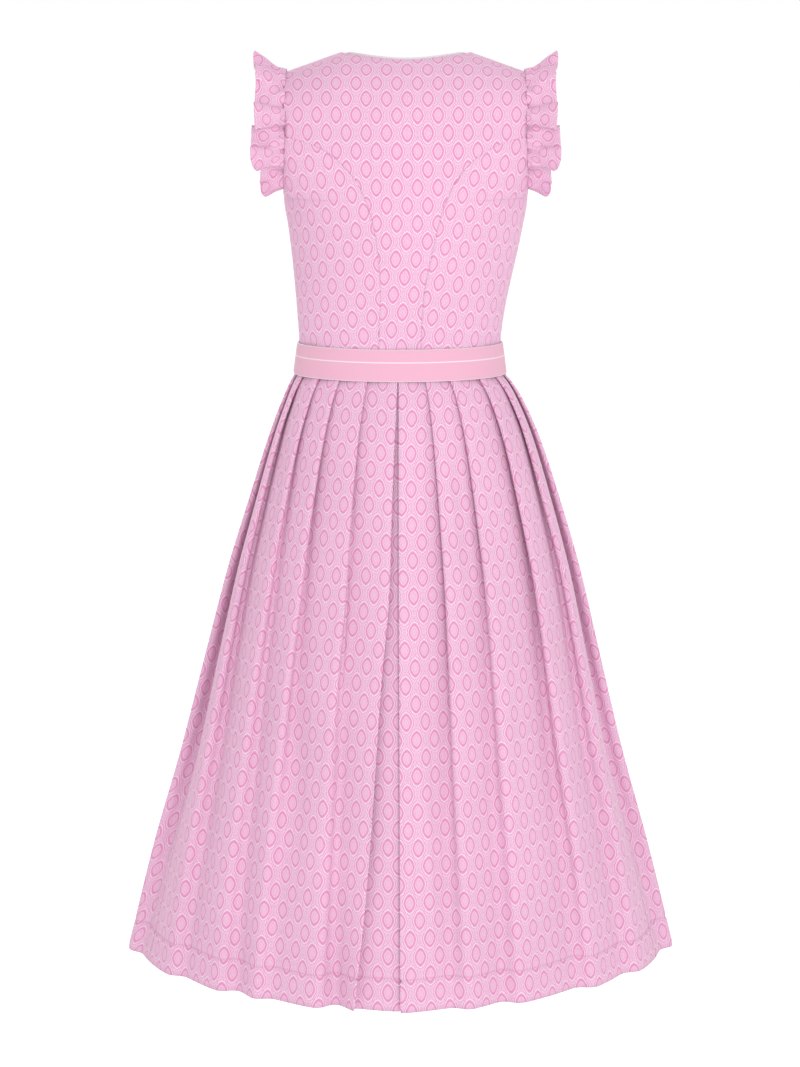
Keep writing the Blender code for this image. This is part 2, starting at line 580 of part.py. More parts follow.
# ---- Skirt ----
def pleat_strokes(pitch, cloth, fold, turn):
    """One pleat's strokes as (along the ring, off the ring): its long face, the bend at its
    foot, and the short face turned back under the next pleat, which the same bend ends."""
    slope = FLAT_FACE_SLOPE
    left = cloth - 2 * turn
    for _ in range(SLOPE_ROUNDS):
        lean = (fold - slope) / 2
        rest = np.array([pitch - 2 * turn * math.cos(lean), -2 * turn * math.sin(lean)])
        span = float(np.hypot(*rest))
        between = fold - math.atan2(rest[1], rest[0])
        short = (left ** 2 - span ** 2) / (2 * (left - span * math.cos(between)))
        short_stroke = short * np.array([math.cos(fold), math.sin(fold)])
        long_stroke = rest - short_stroke
        slope = -math.atan2(long_stroke[1], long_stroke[0])
    bend = turn * np.array([math.cos(lean), math.sin(lean)])
    return long_stroke, bend, short_stroke


def half_section(level, pleats, half_length, hem_half_length, parting, hem_parting):
    """Half the skirt's section at a level, from the centre back to the centre front, as points
    (along the ring, off the ring)."""
    down = (SKIRT_TOP_Z - level.z) / (SKIRT_TOP_Z - HEM_Z)
    belt_total = sum(pleat.belt for pleat in pleats)
    hem_total = sum(pleat.hem for pleat in pleats)
    room = half_length - parting - FRONT_FACE
    hem_room = hem_half_length - hem_parting - FRONT_FACE
    strokes = []
    for pleat in pleats:
        share = pleat.belt / belt_total * (1.0 - down) + pleat.hem / hem_total * down
        cloth = pleat.hem / hem_total * hem_room * pleat.fullness
        strokes.append(pleat_strokes(share * room, cloth, math.radians(level.fold), level.turn))
    # The cloth folded under at the centre lies along the slope of the first pleat.
    layer = min(level.turn, CENTRE_LAYER)
    under = (CENTRE_CLOTH - parting) / 2
    sink = -under * strokes[0][0][1] / strokes[0][0][0]
    edge = parting + under
    points = [
        (0.0, -2 * layer), (edge / 2, -2 * layer - sink / 2), (edge, -2 * layer - sink),
        (edge, -layer - sink), (parting + under / 2, -layer - sink / 2), (parting, -layer),
        (parting, 0.0),
    ]
    at = np.array(points[-1])
    for long_stroke, bend, short_stroke in strokes:
        for step in range(1, LONG_STEPS + 1):
            points.append(tuple(at + long_stroke * step / LONG_STEPS))
        foot = at + long_stroke + bend
        points.append(tuple(foot))
        points.append(tuple(foot + short_stroke / 2))
        points.append(tuple(foot + short_stroke))
        at = foot + short_stroke + bend
        points.append(tuple(at))
    points.append((half_length - FRONT_FACE / 2, 0.0))
    points.append((half_length, 0.0))
    return np.array(points)


def half_ring(level):
    """Half the skirt's ring at a level, from the centre back to the centre front on +X."""
    depth = SKIRT_TOP_DEPTH + DEPTH_SHARE * (level.half_width - SKIRT_TOP_WIDTH)
    turns = np.linspace(0.0, np.pi, RING_POINTS)
    across = np.sin(turns) ** (2 / level.power)
    along = np.sign(np.cos(turns)) * np.abs(np.cos(turns)) ** (2 / level.power)
    ring = np.stack([level.half_width * across, -depth * along], axis=-1)
    travelled = np.concatenate([[0.0], np.cumsum(np.linalg.norm(np.diff(ring, axis=0), axis=1))])
    return ring, travelled


def ring_points(level, section, side):
    """Lay a section round the skirt's ring at its level."""
    ring, travelled = half_ring(level)
    half_length = travelled[-1]
    # The ring is read a little past the centre back too, so it goes on there as a mirror image.
    ring = np.concatenate([ring[:0:-1] * [-1.0, 1.0], ring])
    travelled = np.concatenate([-travelled[:0:-1], travelled])
    shift = side * (level.sway + CENTRE_SHIFT) * (1.0 - section[:, 0] / half_length)
    along = section[:, 0] - shift
    ahead = np.gradient(ring, travelled, axis=0)
    normals = unit(np.stack([ahead[:, 1], -ahead[:, 0]], axis=-1))
    flat = np.stack([np.interp(along, travelled, ring[:, axis]) for axis in (0, 1)], axis=-1)
    normal = np.stack([np.interp(along, travelled, normals[:, axis]) for axis in (0, 1)], axis=-1)
    flat = flat + unit(normal) * section[:, 1:2]
    down = (SKIRT_TOP_Z - level.z) / (SKIRT_TOP_Z - HEM_Z)
    lift = SIDE_LIFT * down ** 2 * (np.abs(flat[:, 0]) / level.half_width) ** 4
    return np.stack([side * flat[:, 0] + level.sway, flat[:, 1], level.z + lift], axis=-1)


def skirt_half(pleats, side):
    """A grid over half the skirt, rows from the hem up, columns from the centre back."""
    hem = SKIRT[-1]
    hem_half_length = half_ring(hem)[1][-1]
    rows = []
    for level in reversed(SKIRT):
        parting, hem_parting = CENTRE_PARTING, CENTRE_PARTING
        if side < 0:
            parting, hem_parting = level.parting, hem.parting
        section = half_section(level, pleats, half_ring(level)[1][-1], hem_half_length,
                               parting, hem_parting)
        rows.append(ring_points(level, section, side))
    return np.array(rows)


def add_skirt():
    right = skirt_half(RIGHT_PLEATS, 1.0)
    left = skirt_half(LEFT_PLEATS, -1.0)
    seam = CENTRE_POINTS + SIDE_SEAM_PLEAT * PLEAT_POINTS + SIDE_SEAM_STEP
    parts = {}
    for name, grid in (("right", right), ("left", left)):
        step = unit(grid[:, seam + 1] - grid[:, seam - 1]) * SEAM_GAP / 2
        back = grid[:, :seam + 1].copy()
        front = grid[:, seam:].copy()
        back[:, -1] -= step
        front[:, 0] += step
        parts[name] = (back, front)
    back = np.concatenate([parts["left"][0][:, :0:-1], parts["right"][0]], axis=1)
    front = np.concatenate([parts["right"][1], parts["left"][1][:, -2::-1]], axis=1)
    for name, grid in (("skirt_back", back), ("skirt_front", front)):
        add_wall(name, grid, SKIRT_WALL / 2, -SKIRT_WALL / 2, PINK_CLOTH)


# ---- The dress ----
def main():
    for old in list(bpy.data.objects):
        bpy.data.objects.remove(old)
    add_back_center()
    for hand, side in (("left", -1.0), ("right", 1.0)):
        add_side_panel(f"back_side_{hand}", False, side)
        add_side_panel(f"front_side_{hand}", True, side)
        add_front_center(f"front_center_{hand}", side)
        add_ruffle(f"ruffle_{hand}", side)
    add_neck_facing()
    add_belt()
    add_skirt()
    for number in range(1, BUTTON_COUNT + 1):
        add_button(number)


main()
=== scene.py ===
"""The looks of a sleeveless dirndl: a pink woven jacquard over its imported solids.

Metres, +Z up. The back of the dress faces -Y, the front +Y, and +X is the wearer's right.
Each cloth piece is a fine shell on the same form as the solid that it stands for.
"""
import math
from collections import namedtuple
from functools import partialmethod

import bpy
import numpy as np
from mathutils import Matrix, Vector


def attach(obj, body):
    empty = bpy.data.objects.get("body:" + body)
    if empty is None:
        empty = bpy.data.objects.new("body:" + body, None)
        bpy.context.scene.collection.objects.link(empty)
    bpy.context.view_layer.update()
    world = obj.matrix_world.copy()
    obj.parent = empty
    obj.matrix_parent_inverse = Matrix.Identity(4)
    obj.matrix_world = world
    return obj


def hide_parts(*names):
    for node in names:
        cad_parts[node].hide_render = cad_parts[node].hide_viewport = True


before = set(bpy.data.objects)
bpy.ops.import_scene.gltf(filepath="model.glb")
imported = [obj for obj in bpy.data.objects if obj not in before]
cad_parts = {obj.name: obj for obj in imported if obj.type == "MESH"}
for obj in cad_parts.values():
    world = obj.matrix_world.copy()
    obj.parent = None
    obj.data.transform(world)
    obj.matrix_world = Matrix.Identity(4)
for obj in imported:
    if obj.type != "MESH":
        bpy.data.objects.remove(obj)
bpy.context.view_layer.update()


def in_metres(kind, rows, plain=""):
    """Rows of a table given in millimetres, but for its plain columns, in metres."""
    plain = plain.split()
    parts = [1 if name in plain else 1000 for name in kind._fields]
    return [kind(*(value / part for value, part in zip(row, parts))) for row in rows]


# ---- Cloth ----
BODICE_WALL = 0.0016
SKIRT_WALL = 0.0010
RUFFLE_WALL = 0.0010
RIBBON_WALL = 0.0015
FACING_WALL = 0.0010
SEAM_GAP = 0.00004

# ---- Heights, from the origin midway between the shoulder seams ----
NECK_Z = 0.012
SHOULDER_Z = -0.012
UNDERARM_Z = -0.165
BELT_TOP_Z = -0.346
WAIST_SEAM_Z = -0.365
BELT_BOTTOM_Z = -0.385
HEM_Z = -1.125

# ---- Bodice form ----
NECK_HALF_WIDTH = 0.080
SHOULDER_HALF_WIDTH = 0.1475
BACK_NECK_REACH = 0.051
FRONT_NECK_DEPTH = 0.150
FRONT_NECK_SQUARENESS = 2.6
NECK_CROWN = 0.005
ARMHOLE_WIDEST_Z = -0.088
ARMHOLE_BACK = 0.064
ARMHOLE_FRONT = 0.060
ARMHOLE_EDGE_POWER = 1.6
FRONT_ARMHOLE_CUT = 0.012
LEAN = 0.007
LEAN_HEIGHT = 0.160
Roof = namedtuple("Roof", "shoulder centre")
BACK_ROOF = Roof(shoulder=0.055, centre=0.085)
FRONT_ROOF = Roof(shoulder=0.065, centre=0.090)
BUST_X = 0.080
BUST_Z = -0.205
BUST_RISE = 0.016
BUST_REACH = 0.055

BodyLevel = namedtuple("BodyLevel", "z half_width back front")
BODY = in_metres(BodyLevel, [
    (-400, 129, 96, 101), (-365, 125.6, 92.5, 97.5), (-346, 125.7, 92.5, 97.5),
    (-305, 129.5, 95, 101), (-255, 136.8, 101, 109), (-205, 145, 107, 115), (-165, 150.8, 109, 112),
    (-120, 149.2, 108, 100), (-60, 147.5, 101, 83), (20, 147.5, 95, 72),
])
SeamPoint = namedtuple("SeamPoint", "z x")
BACK_PRINCESS = in_metres(SeamPoint, [
    (-400, 25.5), (-327, 25.5), (-284, 26), (-240, 31), (-215, 35), (-178, 44), (-157, 52.2),
    (-140, 61.2), (-123, 75.5), (-108, 93.5), (-97, 115.5), (-88, 148.6),
])
FRONT_PRINCESS = in_metres(SeamPoint, [
    (-400, 56), (-346, 56), (-290, 64), (-240, 76), (-205, 83), (-175, 90), (-140, 102),
    (-115, 116), (-100, 137.5),
])
FRONT_LAP = 0.009
FRONT_CORNER_Z = -0.118
TIP_DROP = 0.0006
SEAM_ROWS = 70            # rows below the underarm
ARMHOLE_ROWS = 30         # rows from the underarm to a side panel's tip
SHOULDER_ROWS = 36
NECK_COLUMNS = 40
SHOULDER_COLUMNS = 14
SIDE_COLUMNS = 44
FRONT_COLUMNS = 56

# ---- Seams and small folds of the bodice ----
GROOVE_DEPTH = 0.00022    # how far a panel rolls in at its seam
GROOVE_WIDTH = 0.0012
PUCKER_DEPTH = 0.00016
SEAMS_END_Z = -0.092
SEAMS_FADE = 0.006
PUCKER_PITCH = 0.0115
PUCKER_BEAT = 0.041
PUCKER_REACH = 0.0080
# Soft ridges (+) and troughs (-): the two ends on the face, where along it is strongest,
# height off the cloth and half width.
Crease = namedtuple("Crease", "x0 z0 x1 z1 peak height width")
BACK_CREASES = in_metres(Crease, [
    (-118, -352, -70, -318, 0.2, -1.2, 6), (122, -350, 78, -322, 0.2, -1.1, 5.5),
    (-100, -330, -40, -322, 0.5, 0.9, 7), (104, -326, 30, -330, 0.5, 0.8, 6.5),
    (-135, -172, -98, -205, 0.1, -1.3, 6), (146, -170, 108, -212, 0.1, -1.2, 6.5),
    (-20, -344, -14, -295, 0, 0.7, 8), (12, -344, 20, -300, 0, -0.6, 7.5),
], plain="peak")
FRONT_CREASES = in_metres(Crease, [
    (-112, -350, -62, -300, 0.2, -1.2, 6), (116, -350, 66, -306, 0.2, -1.1, 6),
    (-130, -176, -92, -206, 0.1, -1.4, 6.5), (142, -174, 102, -212, 0.1, -1.3, 6),
    (-58, -236, -12, -262, 0.4, -0.8, 6), (70, -240, 22, -258, 0.4, -0.8, 6.5),
], plain="peak")

# ---- Ribbon belt ----
Oval = namedtuple("Oval", "z half_width back front")
BELT_EDGES = [
    Oval(BELT_BOTTOM_Z, 0.1332, 0.1026, 0.1026),
    Oval(BELT_TOP_Z, 0.1281, 0.0951, 0.1002),
]
BELT_COLUMNS = 420
BELT_ROWS = 24
BELT_EDGE_ROLL = 0.0006
BELT_EDGE_REACH = 0.0012
RIBBON_WAVE = 0.0003
RIBBON_WAVE_REACHES = (0.031, 0.083)

# ---- Facing and buttons ----
FACING_SHOWS = 0.0016
FACING_LIP = 0.0018        # how far its edge stands over the cloth's
FACING_LIP_END = 0.014
FACING_ROWS = 18
LIP_ROWS = 5
BUTTON_RADIUS = 0.0060
BUTTON_THICK = 0.0030
BUTTON_TOP_Z = -0.158
BUTTON_BOTTOM_Z = -0.322
BUTTON_COUNT = 5
BUTTON_SIDES = 64
BUTTON_CLEAR = 0.0006
BUTTON_HOLE_OFF = 0.0013
THREAD_RADIUS = 0.00035
STRAND_OFF = 0.0003       # two strands side by side in each stroke of the cross
STRAND_BOW = 0.0004
STRAND_SINK = 0.0002
BUTTONHOLE_HALF_LENGTH = 0.0092
BUTTONHOLE_HALF_WIDTH = 0.0013
BUTTONHOLE_SHIFT = 0.0030
BUTTONHOLE_RISE = 0.0003
BUTTONHOLE_THREAD = 0.00045
BUTTONHOLE_STEPS = 40

# ---- Armhole ruffles ----
RUFFLE_WIDTH = 0.043
RUFFLE_TILT = math.radians(23.0)
RUFFLE_END_GAP = 0.036
RUFFLE_END_ROUND = 0.014  # over this length its end is rounded off
RUFFLE_LAP = 0.0004        # its root is sewn this far in under the armhole's edge
ROOT_SWING = 0.0006
RUFFLE_ROWS = 44
FLUTE_COLUMNS = 46
EDGE_POINTS = 60
Flute = namedtuple("Flute", "share swing lean")
FLUTES = in_metres(Flute, [
    (0.92, 12, 8), (1, 14, 9.2), (1.15, 12.5, 7), (1.1, 9.5, 4.5), (1.1, 9.5, 4.5), (1.15, 12.5, 7),
    (1.05, 14, 9.2), (0.95, 12, 8),
], plain="share")
# The outer edge's lobes: how wide the ruffle is, by the number of flutes from its back end.
Lobe = namedtuple("Lobe", "flutes width")
LOBES = in_metres(Lobe, [
    (0, 23), (0.3, 29), (0.6, 31), (0.95, 29.5), (1.05, 31), (1.3, 43), (1.6, 44), (1.95, 42.5),
    (2.06, 38), (2.5, 40), (3, 38), (3.5, 39.5), (4, 43.5), (4.5, 39.5), (5, 38.5), (5.5, 40),
    (5.94, 39), (6.05, 42.5), (6.5, 43.5), (6.75, 42.5), (6.97, 31.5), (7.06, 29.5), (7.5, 31),
    (7.75, 28.5), (8, 22),
], plain="flutes")
GATHER_DEPTH = 3.2
# Gathers at the seam: place along the ruffle from 0 to 1, height, half width along the seam,
# and how far out it runs as a share of the width.
Gather = namedtuple("Gather", "place height width reach")
GATHERS = in_metres(Gather, [
    (0.03, 1.6, 3, 0.55), (0.075, -1.8, 3.4, 0.75), (0.112, 2.1, 3.6, 0.9), (0.15, -1.5, 3, 0.5),
    (0.188, 1.7, 4, 0.7), (0.226, -2.2, 3.6, 0.95), (0.262, 1.4, 3, 0.45), (0.298, -1.7, 3.4, 0.8),
    (0.336, 2, 4.2, 0.6), (0.372, -1.3, 3, 0.5), (0.41, 1.6, 3.4, 0.85), (0.447, -1.8, 3.8, 0.55),
    (0.486, 1.2, 3.2, 0.65), (0.524, -1.6, 3.6, 0.75), (0.561, 1.9, 4, 0.6), (0.6, -1.3, 3, 0.45),
    (0.638, 1.6, 3.4, 0.9), (0.674, -2, 4, 0.65), (0.712, 1.5, 3.2, 0.55), (0.75, -1.7, 3.6, 0.85),
    (0.788, 2.1, 3.8, 0.6), (0.826, -1.4, 3, 0.5), (0.864, 1.8, 3.6, 0.8), (0.904, -1.6, 3.4, 0.6),
    (0.945, 1.4, 3, 0.55),
], plain="place reach")

# ---- Skirt form ----
SKIRT_TOP_Z = -0.3655
SKIRT_TOP_DEPTH = 0.1000
DEPTH_SHARE = 0.880
SKIRT_TOP_WIDTH = 0.1306
SkirtLevel = namedtuple("SkirtLevel", "z half_width fold turn power sway parting")
SKIRT = in_metres(SkirtLevel, [
    (-365.5, 126.2, 173.5, 2.4, 2, 0, 1.1), (-385, 130.6, 173, 2.4, 2, 0, 1.1),
    (-395, 137.2, 171, 2.4, 2, 1.2, 1.4), (-407, 144.3, 169, 2.7, 2, 2.5, 2),
    (-420, 150.7, 167, 3, 1.98, 3.4, 2.7), (-445, 161.7, 165, 3.4, 1.96, 4.4, 4),
    (-480, 174.7, 163, 4.2, 1.94, 5.2, 5.5), (-540, 194, 160, 5.2, 1.9, 5.5, 8),
    (-630, 221.5, 154, 6.5, 1.86, 4.8, 10.5), (-740, 249.5, 144, 8, 1.82, 3.4, 20),
    (-860, 280, 126, 9.5, 1.78, 1.8, 28.5), (-990, 317.5, 98, 10, 1.74, 0.5, 38),
    (-1125, 351.5, 66, 10, 1.7, 0, 52.5),
], plain="fold power")
Pleat = namedtuple("Pleat", "belt hem fullness")
RIGHT_PLEATS = [Pleat(*row) for row in (
    (0.92, 0.84, 1.08), (0.88, 0.66, 1.16), (1.18, 1.06, 1.08), (0.94, 0.82, 1.08),
    (1.06, 1.1, 1.06), (1.02, 1.16, 1.07), (0.97, 1.12, 1.05), (1.03, 1.12, 1.07), (1, 1.12, 1.05),
)]
LEFT_PLEATS = [Pleat(*row) for row in (
    (1.06, 0.55, 1.38), (1.04, 0.82, 1.08), (0.88, 0.58, 1.22), (0.98, 0.9, 1.07),
    (1.04, 1.2, 1.05), (0.98, 1.25, 1.06), (1.02, 1.25, 1.05), (1, 1.25, 1.05), (1, 1.25, 1.05),
)]
CENTRE_CLOTH = 0.0671
CENTRE_PARTING = 0.0011
CENTRE_SHIFT = 0.0025
CENTRE_LAYER = 0.0040
CENTRE_STEPS = 4          # columns for each of the six strokes of the centre fold
FRONT_FACE = 0.036
SIDE_LIFT = 0.006
LONG_STEPS = 12
BEND_STEPS = 3
SHORT_STEPS = 6
PLEAT_COLUMNS = LONG_STEPS + 2 * BEND_STEPS + SHORT_STEPS
SIDE_SEAM_PLEAT = 4
SIDE_SEAM_STEP = 8        # two thirds along that pleat's long face
FRONT_STEPS = 5
RING_POINTS = 721
FLAT_FACE_SLOPE = 0.1
SLOPE_ROUNDS = 20

# ---- Skirt surface ----
GATHERED_Z = -0.470       # above this the rows lie closer together
GATHERED_ROWS = 24
HANGING_ROWS = 64
STITCH_ROWS = 9           # rows across the stitch line's groove
HEM_ROWS = 6
STITCH_HEIGHT = 0.038     # the hem's stitch line above its edge
STITCH_GROOVE = 0.0016
STITCH_GROOVE_WIDTH = 0.0018
STITCH_LENGTH = 0.0030
STITCH_PITCH = 0.0046
STITCH_RADIUS = 0.00028
HEM_ROLL = 0.0007
HEM_ROLL_REACH = 0.0015
TURN_UP_WALL = 0.0008     # the turned-up hem inside
TURN_UP_LIP = 0.0020      # of it above the stitch line
TURN_UP_FADE = 0.0030
# How round the pleats' edges are at each height, as the reach of a smoothing along the cloth.
Softness = namedtuple("Softness", "z reach")
SOFTNESS = in_metres(Softness, [
    (-365.5, 0.5), (-420, 0.8), (-540, 1.6), (-700, 3.0), (-880, 4.2), (-1125, 5.2),
])
SKIRT_BACK_CREASES = in_metres(Crease, [
    (7, -545, 46, -1125, 0.75, 3.4, 7.5), (62, -430, 100, -760, 0.3, -2.2, 6),
    (118, -600, 140, -1000, 0.5, 2.4, 9), (150, -420, 205, -640, 0.3, -3, 7),
    (176, -760, 228, -1100, 0.6, 3, 10), (230, -640, 286, -930, 0.5, -2.6, 9),
    (-28, -700, -38, -1050, 0.6, -1.8, 7), (-58, -520, -78, -900, 0.5, 2.2, 8),
    (-112, -640, -132, -1060, 0.6, -3, 9), (-136, -430, -176, -660, 0.3, -3, 7),
    (-190, -700, -238, -1090, 0.6, 3, 10), (-236, -560, -288, -860, 0.4, -2.6, 8),
], plain="peak")
SKIRT_FRONT_CREASES = in_metres(Crease, [
    (20, -520, 30, -1020, 0.6, -2.2, 8.5), (60, -430, 92, -740, 0.3, -2.4, 6.5),
    (112, -640, 146, -1080, 0.6, 3, 9.5), (158, -440, 214, -700, 0.3, -2.8, 7),
    (206, -760, 262, -1090, 0.6, 2.8, 10), (-16, -600, -28, -1100, 0.7, 2.4, 9),
    (-70, -440, -104, -760, 0.3, -2.2, 6), (-124, -620, -150, -1040, 0.5, 2.8, 10),
    (-166, -430, -224, -690, 0.3, -3, 7.5), (-216, -780, -270, -1100, 0.6, -2.6, 10),
], plain="peak")

# ---- The woven pattern ----
PITCH = 0.0250            # between medallions of one row
ROW = 0.02175             # between rows; each is half a pitch along from the last
THREAD_STEP = Vector((0.00050, 0.00042))
BORDER_TOP = 0.0144       # height of the zigzag over a medallion's middle
BORDER_SLOPE = 0.572
BORDER_LINE = 0.0011      # half width of the zigzag's own line
OVAL_HALF_WIDTH = 0.0060
OVAL_HALF_HEIGHT = 0.0092
OVAL_POWER = 1.55
DIAMOND = Vector((0.0028, 0.0042))        # half sizes of the figure inside a medallion
PATCH = Vector((0.0040, 0.0050))          # and of the one between two medallions
CHECK_PITCH = 0.0021
WEAVE_PITCH = 0.0010
PLAIN_WEAVE_PITCH = 0.0009
RIB_PITCH = 0.0011
STRIPE_DOWN = 0.0160      # from the ribbon's top edge to its stripe
STRIPE_HALF_WIDTH = 0.0007
RIBBON_EDGE_WIDTH = 0.0011
HATCH_PITCH = 0.0027
HATCH_REACH = 0.0026      # on each side of the zigzag
BACK_GRAIN = Vector((0.0015, 0.0040))     # where the pattern starts on each part
FRONT_GRAIN = Vector((0.0, 0.0080))
SKIRT_GRAIN = Vector((0.0, 0.0))
SIDE_GRAIN_TURN = math.radians(7.0)

# ---- Colours as they show in soft daylight, 0 to 255 ----
GROUND_PALE = (248, 193, 228)
GROUND_PINK = (234, 152, 198)
ZIGZAG_WHITE = (255, 234, 248)
RING_PINK = (238, 138, 190)
PATCH_LILAC = (226, 190, 222)
REVERSE_PINK = (246, 214, 232)
LINING_WHITE = (238, 232, 234)
RIBBON_PINK = (255, 193, 218)
RIBBON_EDGE = (255, 244, 247)
FACING_WHITE = (240, 232, 236)
BUTTON_PINK = (226, 150, 186)
THREAD_PINK = (230, 156, 196)
FLOOR_WHITE = (250, 250, 250)
ALBEDO_SHARE = 0.68       # of those colours, because the lamps add to the white sky

# ---- The kind of row for a cut before sewing: width, length and area; no cuts are listed ----
Cut = namedtuple("Cut", "width length area")

# ---- Stage ----
CAMERA_PLACE = (0.0, -4.3, 0.1077)
CAMERA_DOWN = math.radians(9.2)
LENS = 3459.0 / 1067.0 * 36.0
FLOOR_Z = -1.45
FLOOR_HALF = 40.0
FLOOR_GLOW = 0.12
WHITE = (1.0, 1.0, 1.0, 1.0)
SKY_STRENGTH = 1.0
# Soft lamps before each side of the dress: place, the point it faces, width and power.
Lamp = namedtuple("Lamp", "name place aim width power")
LAMPS = [
    Lamp("key_lamp", (0.40, -2.3, 0.25), (0.0, 0.0, -0.45), 1.2, 26.0),
    Lamp("far_lamp", (-0.40, 2.3, 0.25), (0.0, 0.0, -0.45), 1.2, 22.0),
]


# ---- Small maths ----
def smooth_step(x):
    x = np.clip(x, 0.0, 1.0)
    return x * x * (3.0 - 2.0 * x)


def smooth_table(rows, key, value, at):
    """Read a table between its rows along a curve that never overshoots them."""
    ordered = sorted(rows, key=lambda row: getattr(row, key))
    xs = np.array([getattr(row, key) for row in ordered])
    ys = np.array([getattr(row, value) for row in ordered])
    steps = np.diff(xs)
    slopes = np.diff(ys) / steps
    before = np.concatenate([slopes[:1], slopes])
    after = np.concatenate([slopes, slopes[-1:]])
    same_way = before * after > 0.0
    total = np.where(same_way, before + after, 1.0)
    tangents = np.where(same_way, 2.0 * before * after / total, 0.0)
    at = np.clip(np.asarray(at, dtype=float), xs[0], xs[-1])
    i = np.clip(np.searchsorted(xs, at) - 1, 0, len(steps) - 1)
    t = (at - xs[i]) / steps[i]
    start = (1 + 2 * t) * (1 - t) ** 2 * ys[i] + t * (1 - t) ** 2 * steps[i] * tangents[i]
    end = t * t * (3 - 2 * t) * ys[i + 1] + t * t * (t - 1) * steps[i] * tangents[i + 1]
    return start + end


def unit(vectors):
    length = np.linalg.norm(vectors, axis=-1, keepdims=True)
    return vectors / np.maximum(length, 1e-12)


def travelled_along(points, axis=0):
    """Distance travelled along rows or columns of points, from the first."""
    steps = np.linalg.norm(np.diff(points, axis=axis), axis=-1)
    start = np.zeros_like(np.take(steps, [0], axis=axis))
    return np.concatenate([start, np.cumsum(steps, axis=axis)], axis=axis)


def read_along(at, travelled, points):
    """Points at distances along a line of points."""
    return np.stack([np.interp(at, travelled, points[:, axis]) for axis in range(points.shape[1])],
                    axis=-1)


def grid_normals(grid):
    """Columns run to the right and rows run up, seen from outside."""
    across = unit(np.gradient(grid, axis=1))
    up = unit(np.gradient(grid, axis=0))
    return unit(np.cross(across, up))


def crease_heights(points, creases):
    heights = np.zeros(points.shape[:-1])
    for crease in creases:
        start = np.array([crease.x0, crease.z0])
        line = np.array([crease.x1, crease.z1]) - start
        flat = points[..., [0, 2]] - start
        share = np.clip(flat @ line / (line @ line), 0.0, 1.0)
        away = np.linalg.norm(flat - share[..., None] * line, axis=-1)
        rising = smooth_step(share / max(crease.peak, 1e-6)) if crease.peak > 0.0 else 1.0
        falling = smooth_step((1.0 - share) / (1.0 - crease.peak))
        strength = np.where(share < crease.peak, rising, falling)
        heights += crease.height * strength * np.exp(-(away / crease.width) ** 2)
    return heights


# ---- Materials ----
def shown_colour(colour, share=ALBEDO_SHARE):
    """A colour as shown, 0 to 255, as the linear colour that the surface reflects."""
    parts = []
    for value in colour:
        value = value / 255.0
        flat = value / 12.92 if value <= 0.04045 else ((value + 0.055) / 1.055) ** 2.4
        parts.append(flat * share)
    return (*parts, 1.0)


def feed(tree, socket, value):
    if isinstance(value, Value):
        tree.links.new(value.socket, socket)
    else:
        socket.default_value = value


class Value:
    """A number or colour in a node tree. Signs and comparisons make new numbers of it."""

    def __init__(self, tree, socket):
        self.tree = tree
        self.socket = socket

    def worked(self, operation, *others):
        made = self.tree.nodes.new("ShaderNodeMath")
        made.operation = operation
        for socket, value in zip(made.inputs, (self, *others)):
            feed(self.tree, socket, value)
        return Value(self.tree, made.outputs[0])

    __add__ = partialmethod(worked, "ADD")
    __sub__ = partialmethod(worked, "SUBTRACT")
    __mul__ = partialmethod(worked, "MULTIPLY")
    __truediv__ = partialmethod(worked, "DIVIDE")
    __pow__ = partialmethod(worked, "POWER")
    __gt__ = partialmethod(worked, "GREATER_THAN")
    __lt__ = partialmethod(worked, "LESS_THAN")
    near = partialmethod(worked, "COMPARE")

    def __rsub__(self, other):
        return self * -1.0 + other

    def wave(self, pitch):
        return (self * (math.tau / pitch)).worked("SINE")


class Shader:
    """A material's node tree, with short calls for what is made in it."""

    def __init__(self, name):
        self.material = bpy.data.materials.new(name)
        self.material.use_nodes = True
        self.tree = self.material.node_tree
        self.surface = self.tree.nodes["Principled BSDF"]

    def node(self, kind, inputs, output=0, **settings):
        made = self.tree.nodes.new(kind)
        for key, value in settings.items():
            setattr(made, key, value)
        for key, value in inputs.items():
            feed(self.tree, made.inputs[key], value)
        return Value(self.tree, made.outputs[output])

    def mix(self, share, first, second):
        inputs = {"Factor": share, "A": first, "B": second}
        return self.node("ShaderNodeMix", inputs, "Result", data_type="RGBA")

    def scaled(self, colour, by):
        colour = colour if isinstance(colour, Value) else colour[:3]
        return self.node("ShaderNodeVectorMath", {0: colour, "Scale": by}, operation="SCALE")

    def clouded(self, colour, scale, depth=0.10):
        """A colour that is a little lighter and darker from place to place."""
        place = self.node("ShaderNodeTexCoord", {}, "Object")
        inputs = {"Scale": scale, "Detail": 2.0, "Vector": place}
        cloud = self.node("ShaderNodeTexNoise", inputs, "Fac")
        return self.scaled(colour, cloud * depth + (1.0 - depth / 2))

    def grain(self):
        """Distances across and along the cloth, in metres."""
        place = self.node("ShaderNodeUVMap", {}, "UV", uv_map="grain")
        return [self.node("ShaderNodeSeparateXYZ", {0: place}, axis) for axis in "XY"]

    def speckle(self, across, along):
        """A different number from 0 to 1 for each crossing of the threads."""
        place = self.node("ShaderNodeCombineXYZ", {"X": across, "Y": along})
        kind = "ShaderNodeTexWhiteNoise"
        return self.node(kind, {"Vector": place}, "Value", noise_dimensions="2D")

    def bump(self, height, distance, strength):
        inputs = {"Strength": strength, "Distance": distance, "Height": height}
        normal = self.node("ShaderNodeBump", inputs, "Normal")
        feed(self.tree, self.surface.inputs["Normal"], normal)

    def finish(self, colour, roughness, sheen=0.0, **more):
        looks = {"Base Color": colour, "Roughness": roughness, "Specular IOR Level": 0.25,
                 "Sheen Weight": sheen, "Sheen Roughness": 0.5, **more}
        for key, value in looks.items():
            feed(self.tree, self.surface.inputs[key], value)
        return self.material


